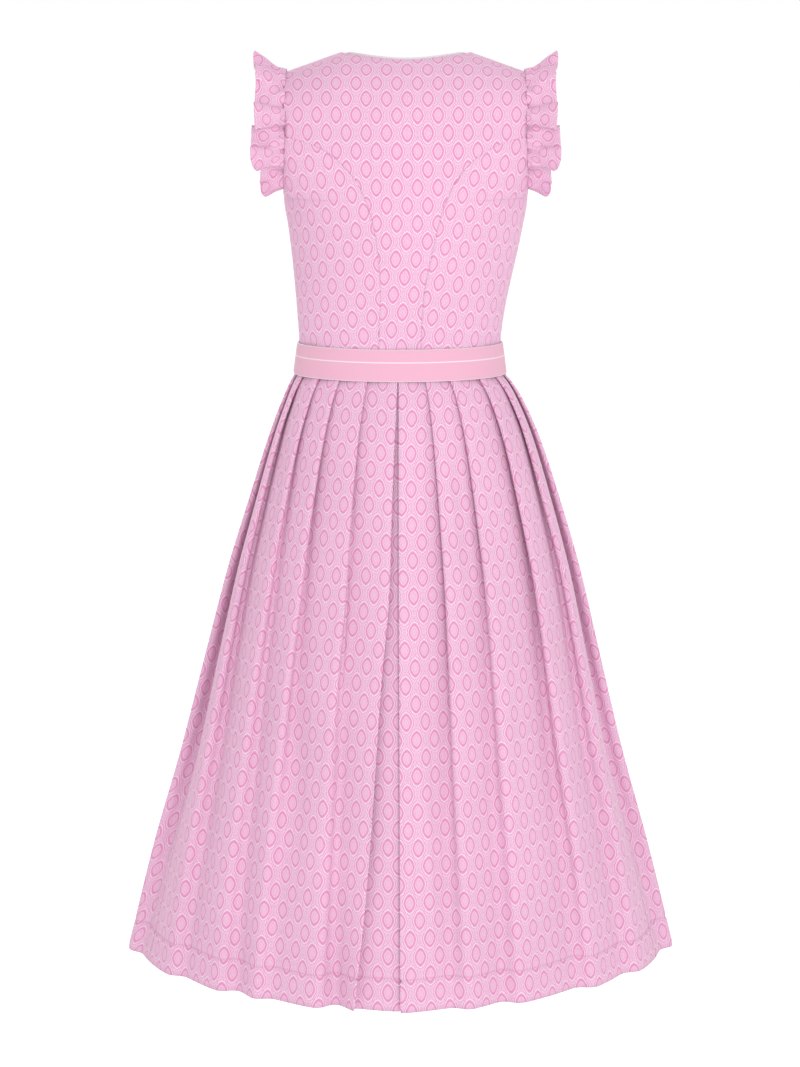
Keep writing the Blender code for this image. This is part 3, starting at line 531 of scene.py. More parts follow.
def weave_height(across, along, pitch):
    """The crossing threads of a plain weave, -1 to 1."""
    return across.wave(pitch) * along.wave(pitch)


def between(share, first, second):
    return (second - first) * share + first


def jacquard():
    """Rows of pointed ovals, each in a cell bordered by zigzag lines."""
    shader = Shader("patterned_cloth")
    across, along = shader.grain()
    across = across.worked("SNAP", THREAD_STEP.x)
    along = along.worked("SNAP", THREAD_STEP.y)
    row = (along / ROW).worked("FLOOR")
    half = PITCH / 2
    from_middle = (row.worked("FLOORED_MODULO", 2.0) * half + across).worked("PINGPONG", half)
    above = along - row * ROW
    past = above - (from_middle * -BORDER_SLOPE + BORDER_TOP)
    # Past the zigzag the point belongs to the oval of the next row.
    over = past > 0.0
    x = between(over, from_middle, half - from_middle)
    y = between(over, above, ROW - above)
    border_away = past.worked("ABSOLUTE")
    oval = (x / OVAL_HALF_WIDTH) ** OVAL_POWER + (y / OVAL_HALF_HEIGHT) ** OVAL_POWER
    radius = oval ** (1.0 / OVAL_POWER)
    checks = weave_height(across, along, CHECK_PITCH) > 0.0
    diamond = x / DIAMOND.x + y / DIAMOND.y
    patch = (half - x) / PATCH.x + y / PATCH.y
    pale, pink, white, dark, lilac = [shown_colour(colour) for colour in (
        GROUND_PALE, GROUND_PINK, ZIGZAG_WHITE, RING_PINK, PATCH_LILAC)]
    ground = checks * 0.35 + shader.speckle(across, along) * 0.65
    colour = shader.mix(ground, pale, pink)
    raised = radius.near(1.00, 0.11)
    hatch = (past * BORDER_SLOPE + from_middle).wave(HATCH_PITCH) > 0.3
    # Each shape in turn: where it lies, how strongly it covers what is below, and its colour.
    shapes = [
        (patch < 1.0, 0.40, lilac),
        ((patch < 0.6) * checks, 0.40, dark),
        (radius.near(2.00, 0.06), 0.60, white),
        (radius.near(1.56, 0.09), 0.60, pink),
        (radius.near(1.72, 0.06), 0.80, white),
        (border_away < BORDER_LINE, 0.70, pink),
        (hatch * (border_away < HATCH_REACH), 0.70, white),
        (radius.near(1.36, 0.07), 0.90, white),
        ((radius < 0.86) * checks, 0.70, white),
        (raised, 0.62, dark),
        (diamond.near(1.30, 0.18), 0.40, dark),
        (diamond < 0.35, 0.30, dark),
    ]
    for place, strength, shape_colour in shapes:
        colour = shader.mix(place * strength, colour, shape_colour)
    shader.bump(raised + weave_height(across, along, WEAVE_PITCH) * 0.30, 0.00012, 0.5)
    return shader.finish(shader.clouded(colour, 9.0), 0.82, sheen=0.15)


def plain_cloth(name, colour):
    shader = Shader(name)
    shader.bump(weave_height(*shader.grain(), PLAIN_WEAVE_PITCH), 0.00010, 0.4)
    return shader.finish(shader.clouded(shown_colour(colour), 60.0), 0.85, sheen=0.1)


def ribbed_ribbon():
    """Fine ribs across the ribbon, pale edges and a thin pale stripe along it."""
    shader = Shader("ribbon")
    across, along = shader.grain()
    width = BELT_TOP_Z - BELT_BOTTOM_Z
    ribs = across.wave(RIB_PITCH)
    stripe = along.near(width - STRIPE_DOWN, STRIPE_HALF_WIDTH)
    edge = along.worked("MINIMUM", width - along) < RIBBON_EDGE_WIDTH
    pale = shown_colour(RIBBON_EDGE)
    colour = shader.scaled(shown_colour(RIBBON_PINK), ribs * 0.05 + 0.97)
    colour = shader.mix(stripe * 0.95, colour, pale)
    colour = shader.mix(edge * 0.80, colour, pale)
    shader.bump(ribs + edge * 1.5, 0.00014, 0.6)
    return shader.finish(colour, 0.55, sheen=0.1)


def smooth_material(name, colour, roughness):
    shader = Shader(name)
    return shader.finish(shader.clouded(shown_colour(colour), 400.0, depth=0.06), roughness)


# ---- Mesh building ----
def add_object(name, data, location=(0.0, 0.0, 0.0), rotation=(0.0, 0.0, 0.0)):
    made = bpy.data.objects.new(name, data)
    made.location = location
    made.rotation_euler = rotation
    bpy.context.scene.collection.objects.link(made)
    return made


def add_mesh(name, points, faces, materials, node=None, part_of_face=None, places=None):
    mesh = bpy.data.meshes.new(name)
    mesh.from_pydata(points, [], faces)
    for made in materials:
        mesh.materials.append(made)
    if part_of_face is not None:
        mesh.polygons.foreach_set("material_index", part_of_face)
    if places is not None:
        corners = np.empty(len(mesh.loops), dtype=np.int32)
        mesh.loops.foreach_get("vertex_index", corners)
        layer = mesh.uv_layers.new(name="grain")
        layer.data.foreach_set("uv", places[corners].ravel())
    mesh.update()
    mesh.shade_smooth()
    made = add_object(name, mesh)
    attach(made, "root")
    if node:
        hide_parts(node)
    return made


def add_cloth(name, grid, above, below, grain, materials, node, normals=None, ends=True):
    """A thin shell round a grid of points: above and below are how far its faces lie off the
    grid. The first material is the face's, the second the reverse's."""
    if normals is None:
        normals = grid_normals(grid)
    rows, columns, _ = grid.shape
    outer = (grid + normals * np.asarray(above)[..., None]).reshape(-1, 3)
    inner = (grid + normals * np.asarray(below)[..., None]).reshape(-1, 3)
    index = np.arange(rows * columns).reshape(rows, columns)
    low, across = index[:-1, :-1].ravel(), index[:-1, 1:].ravel()
    opposite, high = index[1:, 1:].ravel(), index[1:, :-1].ravel()
    face = np.stack([low, across, opposite, high], axis=-1)
    back = face[:, ::-1] + rows * columns
    borders = [(index[0, :-1], index[0, 1:]), (index[-1, 1:], index[-1, :-1])]
    if ends:
        borders += [(index[1:, 0], index[:-1, 0]), (index[:-1, -1], index[1:, -1])]
    rims = [np.stack([second, first, first + rows * columns, second + rows * columns], axis=-1)
            for first, second in borders]
    faces = np.concatenate([face, back, *rims])
    part = np.zeros(len(faces), dtype=np.int32)
    part[len(face):2 * len(face)] = 1
    places = np.concatenate([grain.reshape(-1, 2)] * 2)
    return add_mesh(name, np.concatenate([outer, inner]), faces.tolist(), materials, node,
                    part, places)


# ---- The bodice's outer surface ----
def body_half_width(z, front):
    width = smooth_table(BODY, "z", "half_width", z)
    if not front:
        return width
    height = (z - UNDERARM_Z) / (SHOULDER_Z - UNDERARM_Z)
    return width - FRONT_ARMHOLE_CUT * np.sin(np.pi * np.clip(height, 0.0, 1.0)) ** 1.5


def shoulder_line(x):
    x = np.abs(x)
    slope = (SHOULDER_Z - NECK_Z) / (SHOULDER_HALF_WIDTH - NECK_HALF_WIDTH)
    crown = NECK_CROWN * (1.0 - np.minimum(x / NECK_HALF_WIDTH, 1.0) ** 2)
    return NECK_Z + crown + slope * np.maximum(x - NECK_HALF_WIDTH, 0.0)


def armhole_reach(z, front):
    widest = ARMHOLE_FRONT if front else ARMHOLE_BACK
    below = np.clip((ARMHOLE_WIDEST_Z - z) / (ARMHOLE_WIDEST_Z - UNDERARM_Z), 0.0, 1.0)
    return widest * np.sqrt(1.0 - below ** 2)


def roof_radius(x, front):
    roof = FRONT_ROOF if front else BACK_ROOF
    outward = smooth_step(np.abs(x) / SHOULDER_HALF_WIDTH)
    return roof.centre + (roof.shoulder - roof.centre) * outward


def body_depth(z, front):
    return smooth_table(BODY, "z", "front" if front else "back", z)


def bodice_depth(x, z, front):
    """How far the surface lies behind or before the shoulder seams, without the roll over."""
    across = np.clip(np.abs(x) / body_half_width(z, front), 0.0, 1.0)
    roundness = np.sqrt(1.0 - across ** 2)
    reach = armhole_reach(z, front) * (1.0 - roundness) ** ARMHOLE_EDGE_POWER
    y = body_depth(z, front) * roundness + reach
    if front:
        spot = ((np.abs(x) - BUST_X) ** 2 + (z - BUST_Z) ** 2) / BUST_REACH ** 2
        y = y + BUST_RISE * np.exp(-spot) * roundness
    return y


def bodice_points(x, z, front):
    x, z = np.broadcast_arrays(np.asarray(x, dtype=float), np.asarray(z, dtype=float))
    y = bodice_depth(x, z, front)
    drop = np.clip((shoulder_line(x) - z) / roof_radius(x, front), 0.0, 1.0)
    y = y * np.sqrt(1.0 - (1.0 - drop) ** 2)
    lean = LEAN * smooth_step((z - BELT_TOP_Z) / LEAN_HEIGHT)
    return np.stack([x + lean, y if front else -y, z], axis=-1)


def princess_x(z, front, outward):
    table = FRONT_PRINCESS if front else BACK_PRINCESS
    step = 0.0005
    rise = smooth_table(table, "z", "x", z + step) - smooth_table(table, "z", "x", z - step)
    slant = np.sqrt(1.0 + (rise / (2 * step)) ** 2)
    side = 1.0 if outward else -1.0
    return smooth_table(table, "z", "x", z) + side * SEAM_GAP / 2 * slant


def shoulder_edge(x, front):
    drop = 1.0 - np.sqrt(1.0 - (SEAM_GAP / 2 / body_depth(shoulder_line(x), front)) ** 2)
    return shoulder_line(x) - roof_radius(x, front) * drop


def rising_heights(bottom, count, front):
    radius = float(roof_radius(SHOULDER_HALF_WIDTH, front))
    turn = math.acos(max(1.0 - (SHOULDER_Z - bottom) / radius, -1.0))
    angles = np.linspace(turn, 0.0, count)
    return SHOULDER_Z - radius * (1.0 - np.cos(angles))


def seam_heights(front):
    tip = (FRONT_PRINCESS if front else BACK_PRINCESS)[-1].z - TIP_DROP
    height = ARMHOLE_WIDEST_Z - UNDERARM_Z
    last = math.asin((ARMHOLE_WIDEST_Z - tip) / height)
    turns = np.linspace(np.pi / 2, last, ARMHOLE_ROWS)[1:]
    low = np.linspace(WAIST_SEAM_Z + SEAM_GAP / 2, UNDERARM_Z, SEAM_ROWS)
    return np.concatenate([low, ARMHOLE_WIDEST_Z - height * np.sin(turns)])


def back_neckline(x):
    reach = BACK_NECK_REACH * np.sqrt(np.maximum(1.0 - (x / NECK_HALF_WIDTH) ** 2, 0.0))
    depth = smooth_table(BODY, "z", "back", NECK_Z)
    return shoulder_line(x) - roof_radius(x, False) * (1.0 - np.sqrt(1.0 - (reach / depth) ** 2))


def bodice_grain(x, z, front, start):
    """Distances across and along the cloth at places on the bodice."""
    shares = np.linspace(0.0, 1.0, 25)
    across_x = x[..., None] * shares
    depth = bodice_depth(across_x, np.broadcast_to(z[..., None], across_x.shape), front)
    steps = np.hypot(np.diff(across_x, axis=-1), np.diff(depth, axis=-1))
    across = np.sign(x) * steps.sum(axis=-1) * (-1.0 if front else 1.0)
    radius = roof_radius(x, front)
    drop = np.clip((shoulder_line(x) - z) / radius, 0.0, 1.0)
    turn = np.arccos(np.clip(1.0 - drop, -1.0, 1.0))
    rolled = (bodice_depth(x, z, front) + radius) / 2 * (np.pi / 2 - turn)
    along = np.minimum(z, shoulder_line(x) - radius) + rolled
    return np.stack([across - start.x, along - start.y], axis=-1)


def edge_shape(away, along):
    """The roll into a seam and the small puckers beside it."""
    pucker = np.sin(math.tau * along / PUCKER_PITCH) * np.sin(math.tau * along / PUCKER_BEAT + 1.3)
    roll = -GROOVE_DEPTH * np.exp(-(away / GROOVE_WIDTH) ** 2)
    return roll + PUCKER_DEPTH * pucker * np.exp(-(away / PUCKER_REACH) ** 2)


def panel_grid(x, z, front):
    """Places with columns to the right seen from outside, and their points and normals."""
    if (x[0, -1] > x[0, 0]) == front:
        x, z = x[:, ::-1], z[:, ::-1]
    grid = bodice_points(x, z, front)
    step = 0.00001
    side = np.where(x < 0.0, -1.0, 1.0)
    inward = (grid - bodice_points(x - side * step, z, front)) / step
    downward = (grid - bodice_points(x, z - step, front)) / step
    facing = side[..., None] * (-1.0 if front else 1.0)
    return x, z, grid, unit(np.cross(inward, downward) * facing)


def back_center_places():
    round_neck = NECK_HALF_WIDTH * np.sin(np.linspace(-np.pi / 2, np.pi / 2, NECK_COLUMNS + 1))
    shoulder = np.linspace(NECK_HALF_WIDTH, SHOULDER_HALF_WIDTH, SHOULDER_COLUMNS + 1)[1:]
    top_x = np.concatenate([-shoulder[::-1], round_neck, shoulder])
    shares = top_x / SHOULDER_HALF_WIDTH
    top_z = np.minimum(back_neckline(top_x), shoulder_edge(top_x, False))
    seam = seam_heights(False)
    levels = np.concatenate([seam, rising_heights(BACK_PRINCESS[-1].z, SHOULDER_ROWS, False)])
    levels[-1] = top_z[-1]
    width = body_half_width(levels, False)
    edge = np.where(levels <= seam[-1], princess_x(levels, False, outward=False), width)
    x = np.minimum(edge, width)[:, None] * shares
    rise = smooth_step((levels - seam[-1]) / (levels[-1] - seam[-1]))
    z = levels[:, None] + rise[:, None] * (top_z - top_z[-1])
    return x, z


def front_center_places(side):
    closing_x = -FRONT_LAP if side > 0 else FRONT_LAP + SEAM_GAP
    top_z = float(shoulder_edge(NECK_HALF_WIDTH, True))
    neck_z = NECK_Z - FRONT_NECK_DEPTH
    seam = seam_heights(True)
    outer_z = np.concatenate([seam, rising_heights(FRONT_PRINCESS[-1].z, SHOULDER_ROWS, True)])
    outer_z[-1] = shoulder_edge(SHOULDER_HALF_WIDTH, True)
    width = body_half_width(outer_z, True)
    outer_x = np.where(outer_z <= seam[-1], princess_x(outer_z, True, outward=False), width)
    outer_x = np.minimum(outer_x, width)
    straight = int(np.sum(outer_z < FRONT_CORNER_Z))
    turns = np.linspace(0.0, np.pi / 2, len(outer_z) - straight + 1)
    outward = np.sin(turns) ** (2 / FRONT_NECK_SQUARENESS)
    round_x = closing_x + (NECK_HALF_WIDTH - closing_x) * outward
    round_z = top_z - (top_z - neck_z) * np.cos(turns) ** (2 / FRONT_NECK_SQUARENESS)
    inner_x = np.concatenate([np.full(straight, closing_x), round_x[1:]])
    low = outer_z[:straight]
    low = low[0] + (low - low[0]) / (low[-1] - low[0]) * (neck_z - low[0])
    inner_z = np.concatenate([low, round_z[1:]])
    shares = np.linspace(0.0, 1.0, FRONT_COLUMNS + 1)
    x = inner_x[:, None] + (outer_x - inner_x)[:, None] * shares
    z = inner_z[:, None] + (outer_z - inner_z)[:, None] * shares
    return side * x, z


def side_places(front, side):
    levels = seam_heights(front)
    width = body_half_width(levels, front)
    inner = np.arcsin(np.minimum(princess_x(levels, front, outward=True) / width, 1.0))
    gap = SEAM_GAP / 2 / body_depth(levels, front)
    outer = np.pi / 2 - np.where(levels <= UNDERARM_Z, gap, 0.0)
    shares = np.linspace(0.0, 1.0, SIDE_COLUMNS + 1)
    angle = inner[:, None] + (outer - inner)[:, None] * shares
    x = side * width[:, None] * np.sin(angle)
    return x, np.broadcast_to(levels[:, None], x.shape)


def add_panel(node, places, front, looks, turn=0.0):
    """One bodice panel with its rolled seams, puckers and soft creases."""
    x, z, grid, normals = panel_grid(*places, front)
    grain = bodice_grain(x, z, front, FRONT_GRAIN if front else BACK_GRAIN)
    if turn:
        cos, sin = math.cos(turn), math.sin(turn)
        grain = grain @ np.array([[cos, sin], [-sin, cos]])
    from_left = travelled_along(grid, axis=1)
    to_right = from_left[:, -1:] - from_left
    along = travelled_along(grid, axis=0)
    height = edge_shape(from_left, along[:, :1]) + edge_shape(to_right, along[:, -1:])
    # Above the seams the panel's edges are the armhole's and the shoulder's, which lie flat.
    height = height * smooth_step((SEAMS_END_Z - z) / SEAMS_FADE)
    height = height + crease_heights(grid, FRONT_CREASES if front else BACK_CREASES)
    made = add_cloth(node + "_cloth", grid, height, height - BODICE_WALL, grain, looks,
                     node, normals)


def add_neck_facing(looks):
    x, z = back_center_places()
    neck = slice(SHOULDER_COLUMNS, SHOULDER_COLUMNS + NECK_COLUMNS + 1)
    x, z = x[-FACING_ROWS:, neck], z[-FACING_ROWS:, neck]
    depth = smooth_table(BODY, "z", "back", NECK_Z)
    reach = BACK_NECK_REACH * np.sqrt(np.maximum(1.0 - (x[-1] / NECK_HALF_WIDTH) ** 2, 0.0))
    radius = roof_radius(x[-1], False)
    shares = np.linspace(0.2, 1.0, LIP_ROWS)[:, None]
    turn = np.maximum(np.arcsin(reach / depth) - FACING_SHOWS * shares / radius, SEAM_GAP / depth)
    lip_z = shoulder_line(x[-1]) - radius * (1.0 - np.cos(turn))
    x, z = np.concatenate([x, np.repeat(x[-1:], LIP_ROWS, axis=0)]), np.concatenate([z, lip_z])
    x, z, grid, normals = panel_grid(x, z, False)
    grain = bodice_grain(x, z, False, BACK_GRAIN)
    inset = BODICE_WALL + SEAM_GAP
    above = np.full(x.shape, -inset)
    fade = smooth_step((NECK_HALF_WIDTH - np.abs(x[-1])) / FACING_LIP_END)
    above[-LIP_ROWS:] += (inset + FACING_LIP) * smooth_step(shares) * fade
    made = add_cloth("facing", grid, above, above - FACING_WALL, grain, looks,
                     "neck_facing", normals)


# ---- Ribbon belt ----
def add_ribbon(looks):
    """The ribbon's ends meet at the wearer's left side seam."""
    turns = np.linspace(-np.pi / 2, 1.5 * np.pi, BELT_COLUMNS + 1)
    shares = np.linspace(0.0, 1.0, BELT_ROWS)[:, None]
    low, high = BELT_EDGES
    low_depth = np.where(np.cos(turns) > 0.0, low.back, low.front)
    high_depth = np.where(np.cos(turns) > 0.0, high.back, high.front)
    half_width = low.half_width + (high.half_width - low.half_width) * shares
    depth = low_depth + (high_depth - low_depth) * shares
    z = np.broadcast_to(low.z + (high.z - low.z) * shares, depth.shape)
    grid = np.stack([half_width * np.sin(turns), -depth * np.cos(turns), z], axis=-1)
    across = travelled_along(grid, axis=1)
    along = np.broadcast_to((high.z - low.z) * shares, across.shape)
    from_edge = np.minimum(along, high.z - low.z - along)
    short, long = RIBBON_WAVE_REACHES
    wave = RIBBON_WAVE * np.sin(across / short) * np.sin(across / long + 1.0)
    above = wave - BELT_EDGE_ROLL * np.exp(-(from_edge / BELT_EDGE_REACH) ** 2)
    made = add_cloth("ribbon", grid, above, np.full(above.shape, -RIBBON_WALL),
                     np.stack([across, along], axis=-1), looks, "ribbon_belt",
                     ends=False)


# ---- Buttons ----
def ring_faces(rings, sides, closed=False):
    """Faces between rings of points, with a lid on each end unless it is closed."""
    faces = []
    for ring in range(rings if closed else rings - 1):
        low, high = ring * sides, (ring + 1) % rings * sides
        for side in range(sides):
            other = (side + 1) % sides
            faces.append([low + side, high + side, high + other, low + other])
    if not closed:
        faces.append(list(range(sides)))
        faces.append([(rings - 1) * sides + side for side in reversed(range(sides))])
    return faces


def tube(path, radius, sides=8, closed=False, across=None):
    """Points and faces of a round thread along a path. A short one, whose direction across is
    given, keeps one direction ahead."""
    if across is not None:
        ahead = unit(path[-1] - path[0])
    elif closed:
        ahead = unit(np.roll(path, -1, axis=0) - np.roll(path, 1, axis=0))
    else:
        ahead = unit(np.gradient(path, axis=0))
    if across is None:
        across = unit(np.cross(ahead, [0.0, 0.0, 1.0]) + 1e-9)
    up = np.cross(ahead, across)
    turns = np.arange(sides)[:, None] * math.tau / sides
    ring = across[..., None, :] * np.cos(turns) + up[..., None, :] * np.sin(turns)
    points = (path[:, None] + ring * radius).reshape(-1, 3)
    return points, ring_faces(len(path), sides, closed)


def joined(parts):
    """Several lots of points and faces as one."""
    points, faces, start = [], [], 0
    for more_points, more_faces in parts:
        points.append(more_points)
        faces.extend([[start + corner for corner in face] for face in more_faces])
        start += len(more_points)
    return np.concatenate(points), faces


def button_frame(number):
    """A button's place on the cloth and its directions: across, up and out."""
    share = (number - 1) / (BUTTON_COUNT - 1)
    z = BUTTON_TOP_Z + (BUTTON_BOTTOM_Z - BUTTON_TOP_Z) * share
    step = 0.002
    place = bodice_points(0.0, z, True)
    up = unit(bodice_points(0.0, z + step, True) - bodice_points(0.0, z - step, True))
    across = unit(bodice_points(-step, z, True) - bodice_points(step, z, True))
    return place, np.stack([across, up, unit(np.cross(across, up))])


def add_button(number, button_look, thread_look):
    place, directions = button_frame(number)
    rim, thick = BUTTON_RADIUS, BUTTON_THICK
    # The profile from the middle of the face to that of the back, as distance from the middle
    # and height above the back.
    profile = [
        (0.0001, thick * 0.69), (rim * 0.45, thick * 0.70), (rim * 0.60, thick * 0.75),
        (rim * 0.68, thick * 0.86), (rim * 0.76, thick * 0.97), (rim * 0.86, thick),
        (rim * 0.93, thick * 0.95), (rim * 0.985, thick * 0.75), (rim, thick * 0.45),
        (rim * 0.96, thick * 0.18), (rim * 0.85, 0.0), (0.0001, 0.0),
    ]
    turns = np.arange(BUTTON_SIDES) * math.tau / BUTTON_SIDES
    points = np.array([[(radius * math.cos(turn), radius * math.sin(turn), height)
                        for turn in turns] for radius, height in profile]).reshape(-1, 3)
    faces = ring_faces(len(profile), BUTTON_SIDES)
    lifted = points + [0.0, 0.0, BUTTON_CLEAR]
    add_mesh(f"button_{number}_disc", lifted @ directions + place, faces, [button_look],
             f"button_{number}")
    stitches = []
    steps = np.linspace(0.0, 1.0, 9)
    for slant in (1.0, -1.0):
        for shift in (-STRAND_OFF, STRAND_OFF):
            run = (steps * 2.0 - 1.0) * BUTTON_HOLE_OFF
            rise = thick * 0.69 + STRAND_BOW * np.sin(np.pi * steps) - STRAND_SINK
            path = np.stack([run + shift, slant * (run - shift), rise + BUTTON_CLEAR], axis=-1)
            stitches.append(tube(path @ directions + place, THREAD_RADIUS))
    points, faces = joined(stitches)
    add_mesh(f"button_{number}_thread", points, faces, [thread_look])
    turns = np.arange(BUTTONHOLE_STEPS) * math.tau / BUTTONHOLE_STEPS
    reach = np.sign(np.cos(turns)) * np.abs(np.cos(turns)) ** 0.35
    loop = np.stack([reach * BUTTONHOLE_HALF_LENGTH + BUTTONHOLE_SHIFT,
                     np.sin(turns) * BUTTONHOLE_HALF_WIDTH,
                     np.full(turns.shape, BUTTONHOLE_RISE)], axis=-1)
    points, faces = tube(loop @ directions + place, BUTTONHOLE_THREAD, closed=True)
    add_mesh(f"buttonhole_{number}", points, faces, [thread_look])


# ---- Armhole ruffles ----
def armhole_edge(side):
    height = ARMHOLE_WIDEST_Z - UNDERARM_Z
    halves = []
    for front in (False, True):
        low = ARMHOLE_WIDEST_Z - height * np.sin(np.linspace(np.pi / 2, 0.0, EDGE_POINTS))
        high = rising_heights(ARMHOLE_WIDEST_Z, EDGE_POINTS, front)[1:]
        z = np.concatenate([low, high])
        halves.append(bodice_points(side * body_half_width(z, front), z, front))
    return np.concatenate([halves[0], halves[1][-2::-1]])


def add_ruffle(hand, side, looks):
    edge = armhole_edge(side)
    travelled = travelled_along(edge)
    length = travelled[-1] - 2 * RUFFLE_END_GAP
    shares = np.array([flute.share for flute in FLUTES])
    ends = np.concatenate([[0.0], np.cumsum(shares) / shares.sum()])
    steps = np.linspace(0.0, len(FLUTES), len(FLUTES) * FLUTE_COLUMNS + 1)
    flute = np.minimum(steps.astype(int), len(FLUTES) - 1)
    along = RUFFLE_END_GAP + length * np.interp(steps, np.arange(len(ends)), ends)
    root = read_along(along, travelled, edge)
    tangent = unit(np.gradient(root, axis=0))
    outward = np.array([side, 0.0, 0.0])
    radial = unit(np.cross(outward, tangent) * side)
    centre = np.array([0.0, 0.0, ARMHOLE_WIDEST_Z])
    away = np.sum(radial * ((root - centre) * [0.0, 1.0, 1.0]), axis=-1, keepdims=True)
    radial = radial * np.sign(away)
    reach = outward * math.cos(RUFFLE_TILT) + radial * math.sin(RUFFLE_TILT)
    from_end = np.minimum(along - RUFFLE_END_GAP, RUFFLE_END_GAP + length - along)
    width = smooth_table(LOBES, "flutes", "width", steps)
    to_round = 1.0 - np.clip(from_end / RUFFLE_END_ROUND, 0.0, 1.0)
    width = width * np.sqrt(1.0 - 0.98 * to_round ** 2)
    swing = np.interp(steps, np.arange(len(FLUTES)) + 0.5, [row.swing for row in FLUTES])
    lean = np.interp(steps, np.arange(len(FLUTES)) + 0.5, [row.lean for row in FLUTES])
    phase = steps - flute
    fullness = width / RUFFLE_WIDTH
    rows = []
    for out in np.linspace(0.0, 1.0, RUFFLE_ROWS):
        sway = (ROOT_SWING + (swing - ROOT_SWING) * out) * fullness * np.sin(math.tau * phase)
        for gather in GATHERS:
            off = (along - RUFFLE_END_GAP - gather.place * length) / (gather.width * (1.0 + out))
            fade = 1.0 - smooth_step(out / gather.reach)
            sway = sway + GATHER_DEPTH * gather.height * fade * np.exp(-off ** 2)
        shift = -lean * fullness * out ** 1.5 * np.sin(2 * math.tau * phase)
        distance = (RUFFLE_LAP + width) * out - RUFFLE_LAP
        rows.append(root + reach * distance[:, None] + radial * sway[:, None]
                    + tangent * shift[:, None])
    grid = np.array(rows)
    outwards = travelled_along(grid, axis=0)
    lengthwise = travelled_along(grid[-1])
    grain = np.stack([outwards, np.broadcast_to(lengthwise, outwards.shape)], axis=-1)
    if side > 0:
        grid, grain = grid[::-1], grain[::-1]
    half = np.full(grid.shape[:2], RUFFLE_WALL / 2)
    made = add_cloth(f"ruffle_{hand}_cloth", grid, half, -half, grain, looks,
                     f"ruffle_{hand}")


# ---- Skirt ----
def pleat_strokes(pitch, cloth, fold, turn):
    """One pleat's strokes as (along the ring, off the ring): its long face, the bend at its
    foot, and the short face turned back under the next pleat, which the same bend ends."""
    slope = FLAT_FACE_SLOPE
    left = cloth - 2 * turn
    for _ in range(SLOPE_ROUNDS):
        lean = (fold - slope) / 2
        rest = np.array([pitch - 2 * turn * math.cos(lean), -2 * turn * math.sin(lean)])
        span = float(np.hypot(*rest))
        between = fold - math.atan2(rest[1], rest[0])
        short = (left ** 2 - span ** 2) / (2 * (left - span * math.cos(between)))
        short_stroke = short * np.array([math.cos(fold), math.sin(fold)])
        long_stroke = rest - short_stroke
        slope = -math.atan2(long_stroke[1], long_stroke[0])
    bend = turn * np.array([math.cos(lean), math.sin(lean)])
    return long_stroke, bend, short_stroke


def half_section(level, pleats, half_length, hem_half_length, parting, hem_parting):
    """Half the skirt's section at a level, from the centre back to the centre front."""
    down = (SKIRT_TOP_Z - level.z) / (SKIRT_TOP_Z - HEM_Z)
    belt_total = sum(pleat.belt for pleat in pleats)
    hem_total = sum(pleat.hem for pleat in pleats)
    room = half_length - parting - FRONT_FACE
    hem_room = hem_half_length - hem_parting - FRONT_FACE
    strokes = []
    for pleat in pleats:
        share = pleat.belt / belt_total * (1.0 - down) + pleat.hem / hem_total * down
        cloth = pleat.hem / hem_total * hem_room * pleat.fullness
        strokes.append(pleat_strokes(share * room, cloth, math.radians(level.fold), level.turn))
    layer = min(level.turn, CENTRE_LAYER)
    under = (CENTRE_CLOTH - parting) / 2
    sink = -under * strokes[0][0][1] / strokes[0][0][0]
    edge = parting + under
    corners = [
        (0.0, -2 * layer), (edge / 2, -2 * layer - sink / 2), (edge, -2 * layer - sink),
        (edge, -layer - sink), (parting + under / 2, -layer - sink / 2), (parting, -layer),
        (parting, 0.0),
    ]
    counts = [CENTRE_STEPS] * (len(corners) - 1)
    for long_stroke, bend, short_stroke in strokes:
        runs = ((long_stroke, LONG_STEPS), (bend, BEND_STEPS), (short_stroke, SHORT_STEPS),
                (bend, BEND_STEPS))
        for stroke, count in runs:
            corners.append(tuple(np.array(corners[-1]) + stroke))
            counts.append(count)
    corners.append((half_length, 0.0))
    counts.append(FRONT_STEPS)
    points = [np.array(corners[0])]
    for start, end, count in zip(corners, corners[1:], counts):
        shares = np.linspace(0.0, 1.0, count + 1)[1:]
        points.extend(np.array(start) + np.outer(shares, np.array(end) - np.array(start)))
    return np.array(points)


def softened(section, reach):
    """Round a section's corners by averaging along the cloth. It goes on past both of its ends
    as a mirror image, so that they stay where they are."""
    before = section[:0:-1] * [-1.0, 1.0]
    after = section[-2::-1] * [-1.0, 1.0] + [2 * section[-1, 0], 0.0]
    whole = np.concatenate([before, section, after])
    travelled = travelled_along(whole)
    weight = np.gradient(travelled)
    inner = slice(len(before), len(before) + len(section))
    away = travelled[inner][:, None] - travelled[None, :]
    share = np.exp(-0.5 * (away / reach) ** 2) * weight
    return share @ whole / share.sum(axis=1, keepdims=True)


def half_ring(level):
    depth = SKIRT_TOP_DEPTH + DEPTH_SHARE * (level.half_width - SKIRT_TOP_WIDTH)
    turns = np.linspace(0.0, np.pi, RING_POINTS)
    across = np.sin(turns) ** (2 / level.power)
    along = np.sign(np.cos(turns)) * np.abs(np.cos(turns)) ** (2 / level.power)
    ring = np.stack([level.half_width * across, -depth * along], axis=-1)
    return ring, travelled_along(ring)


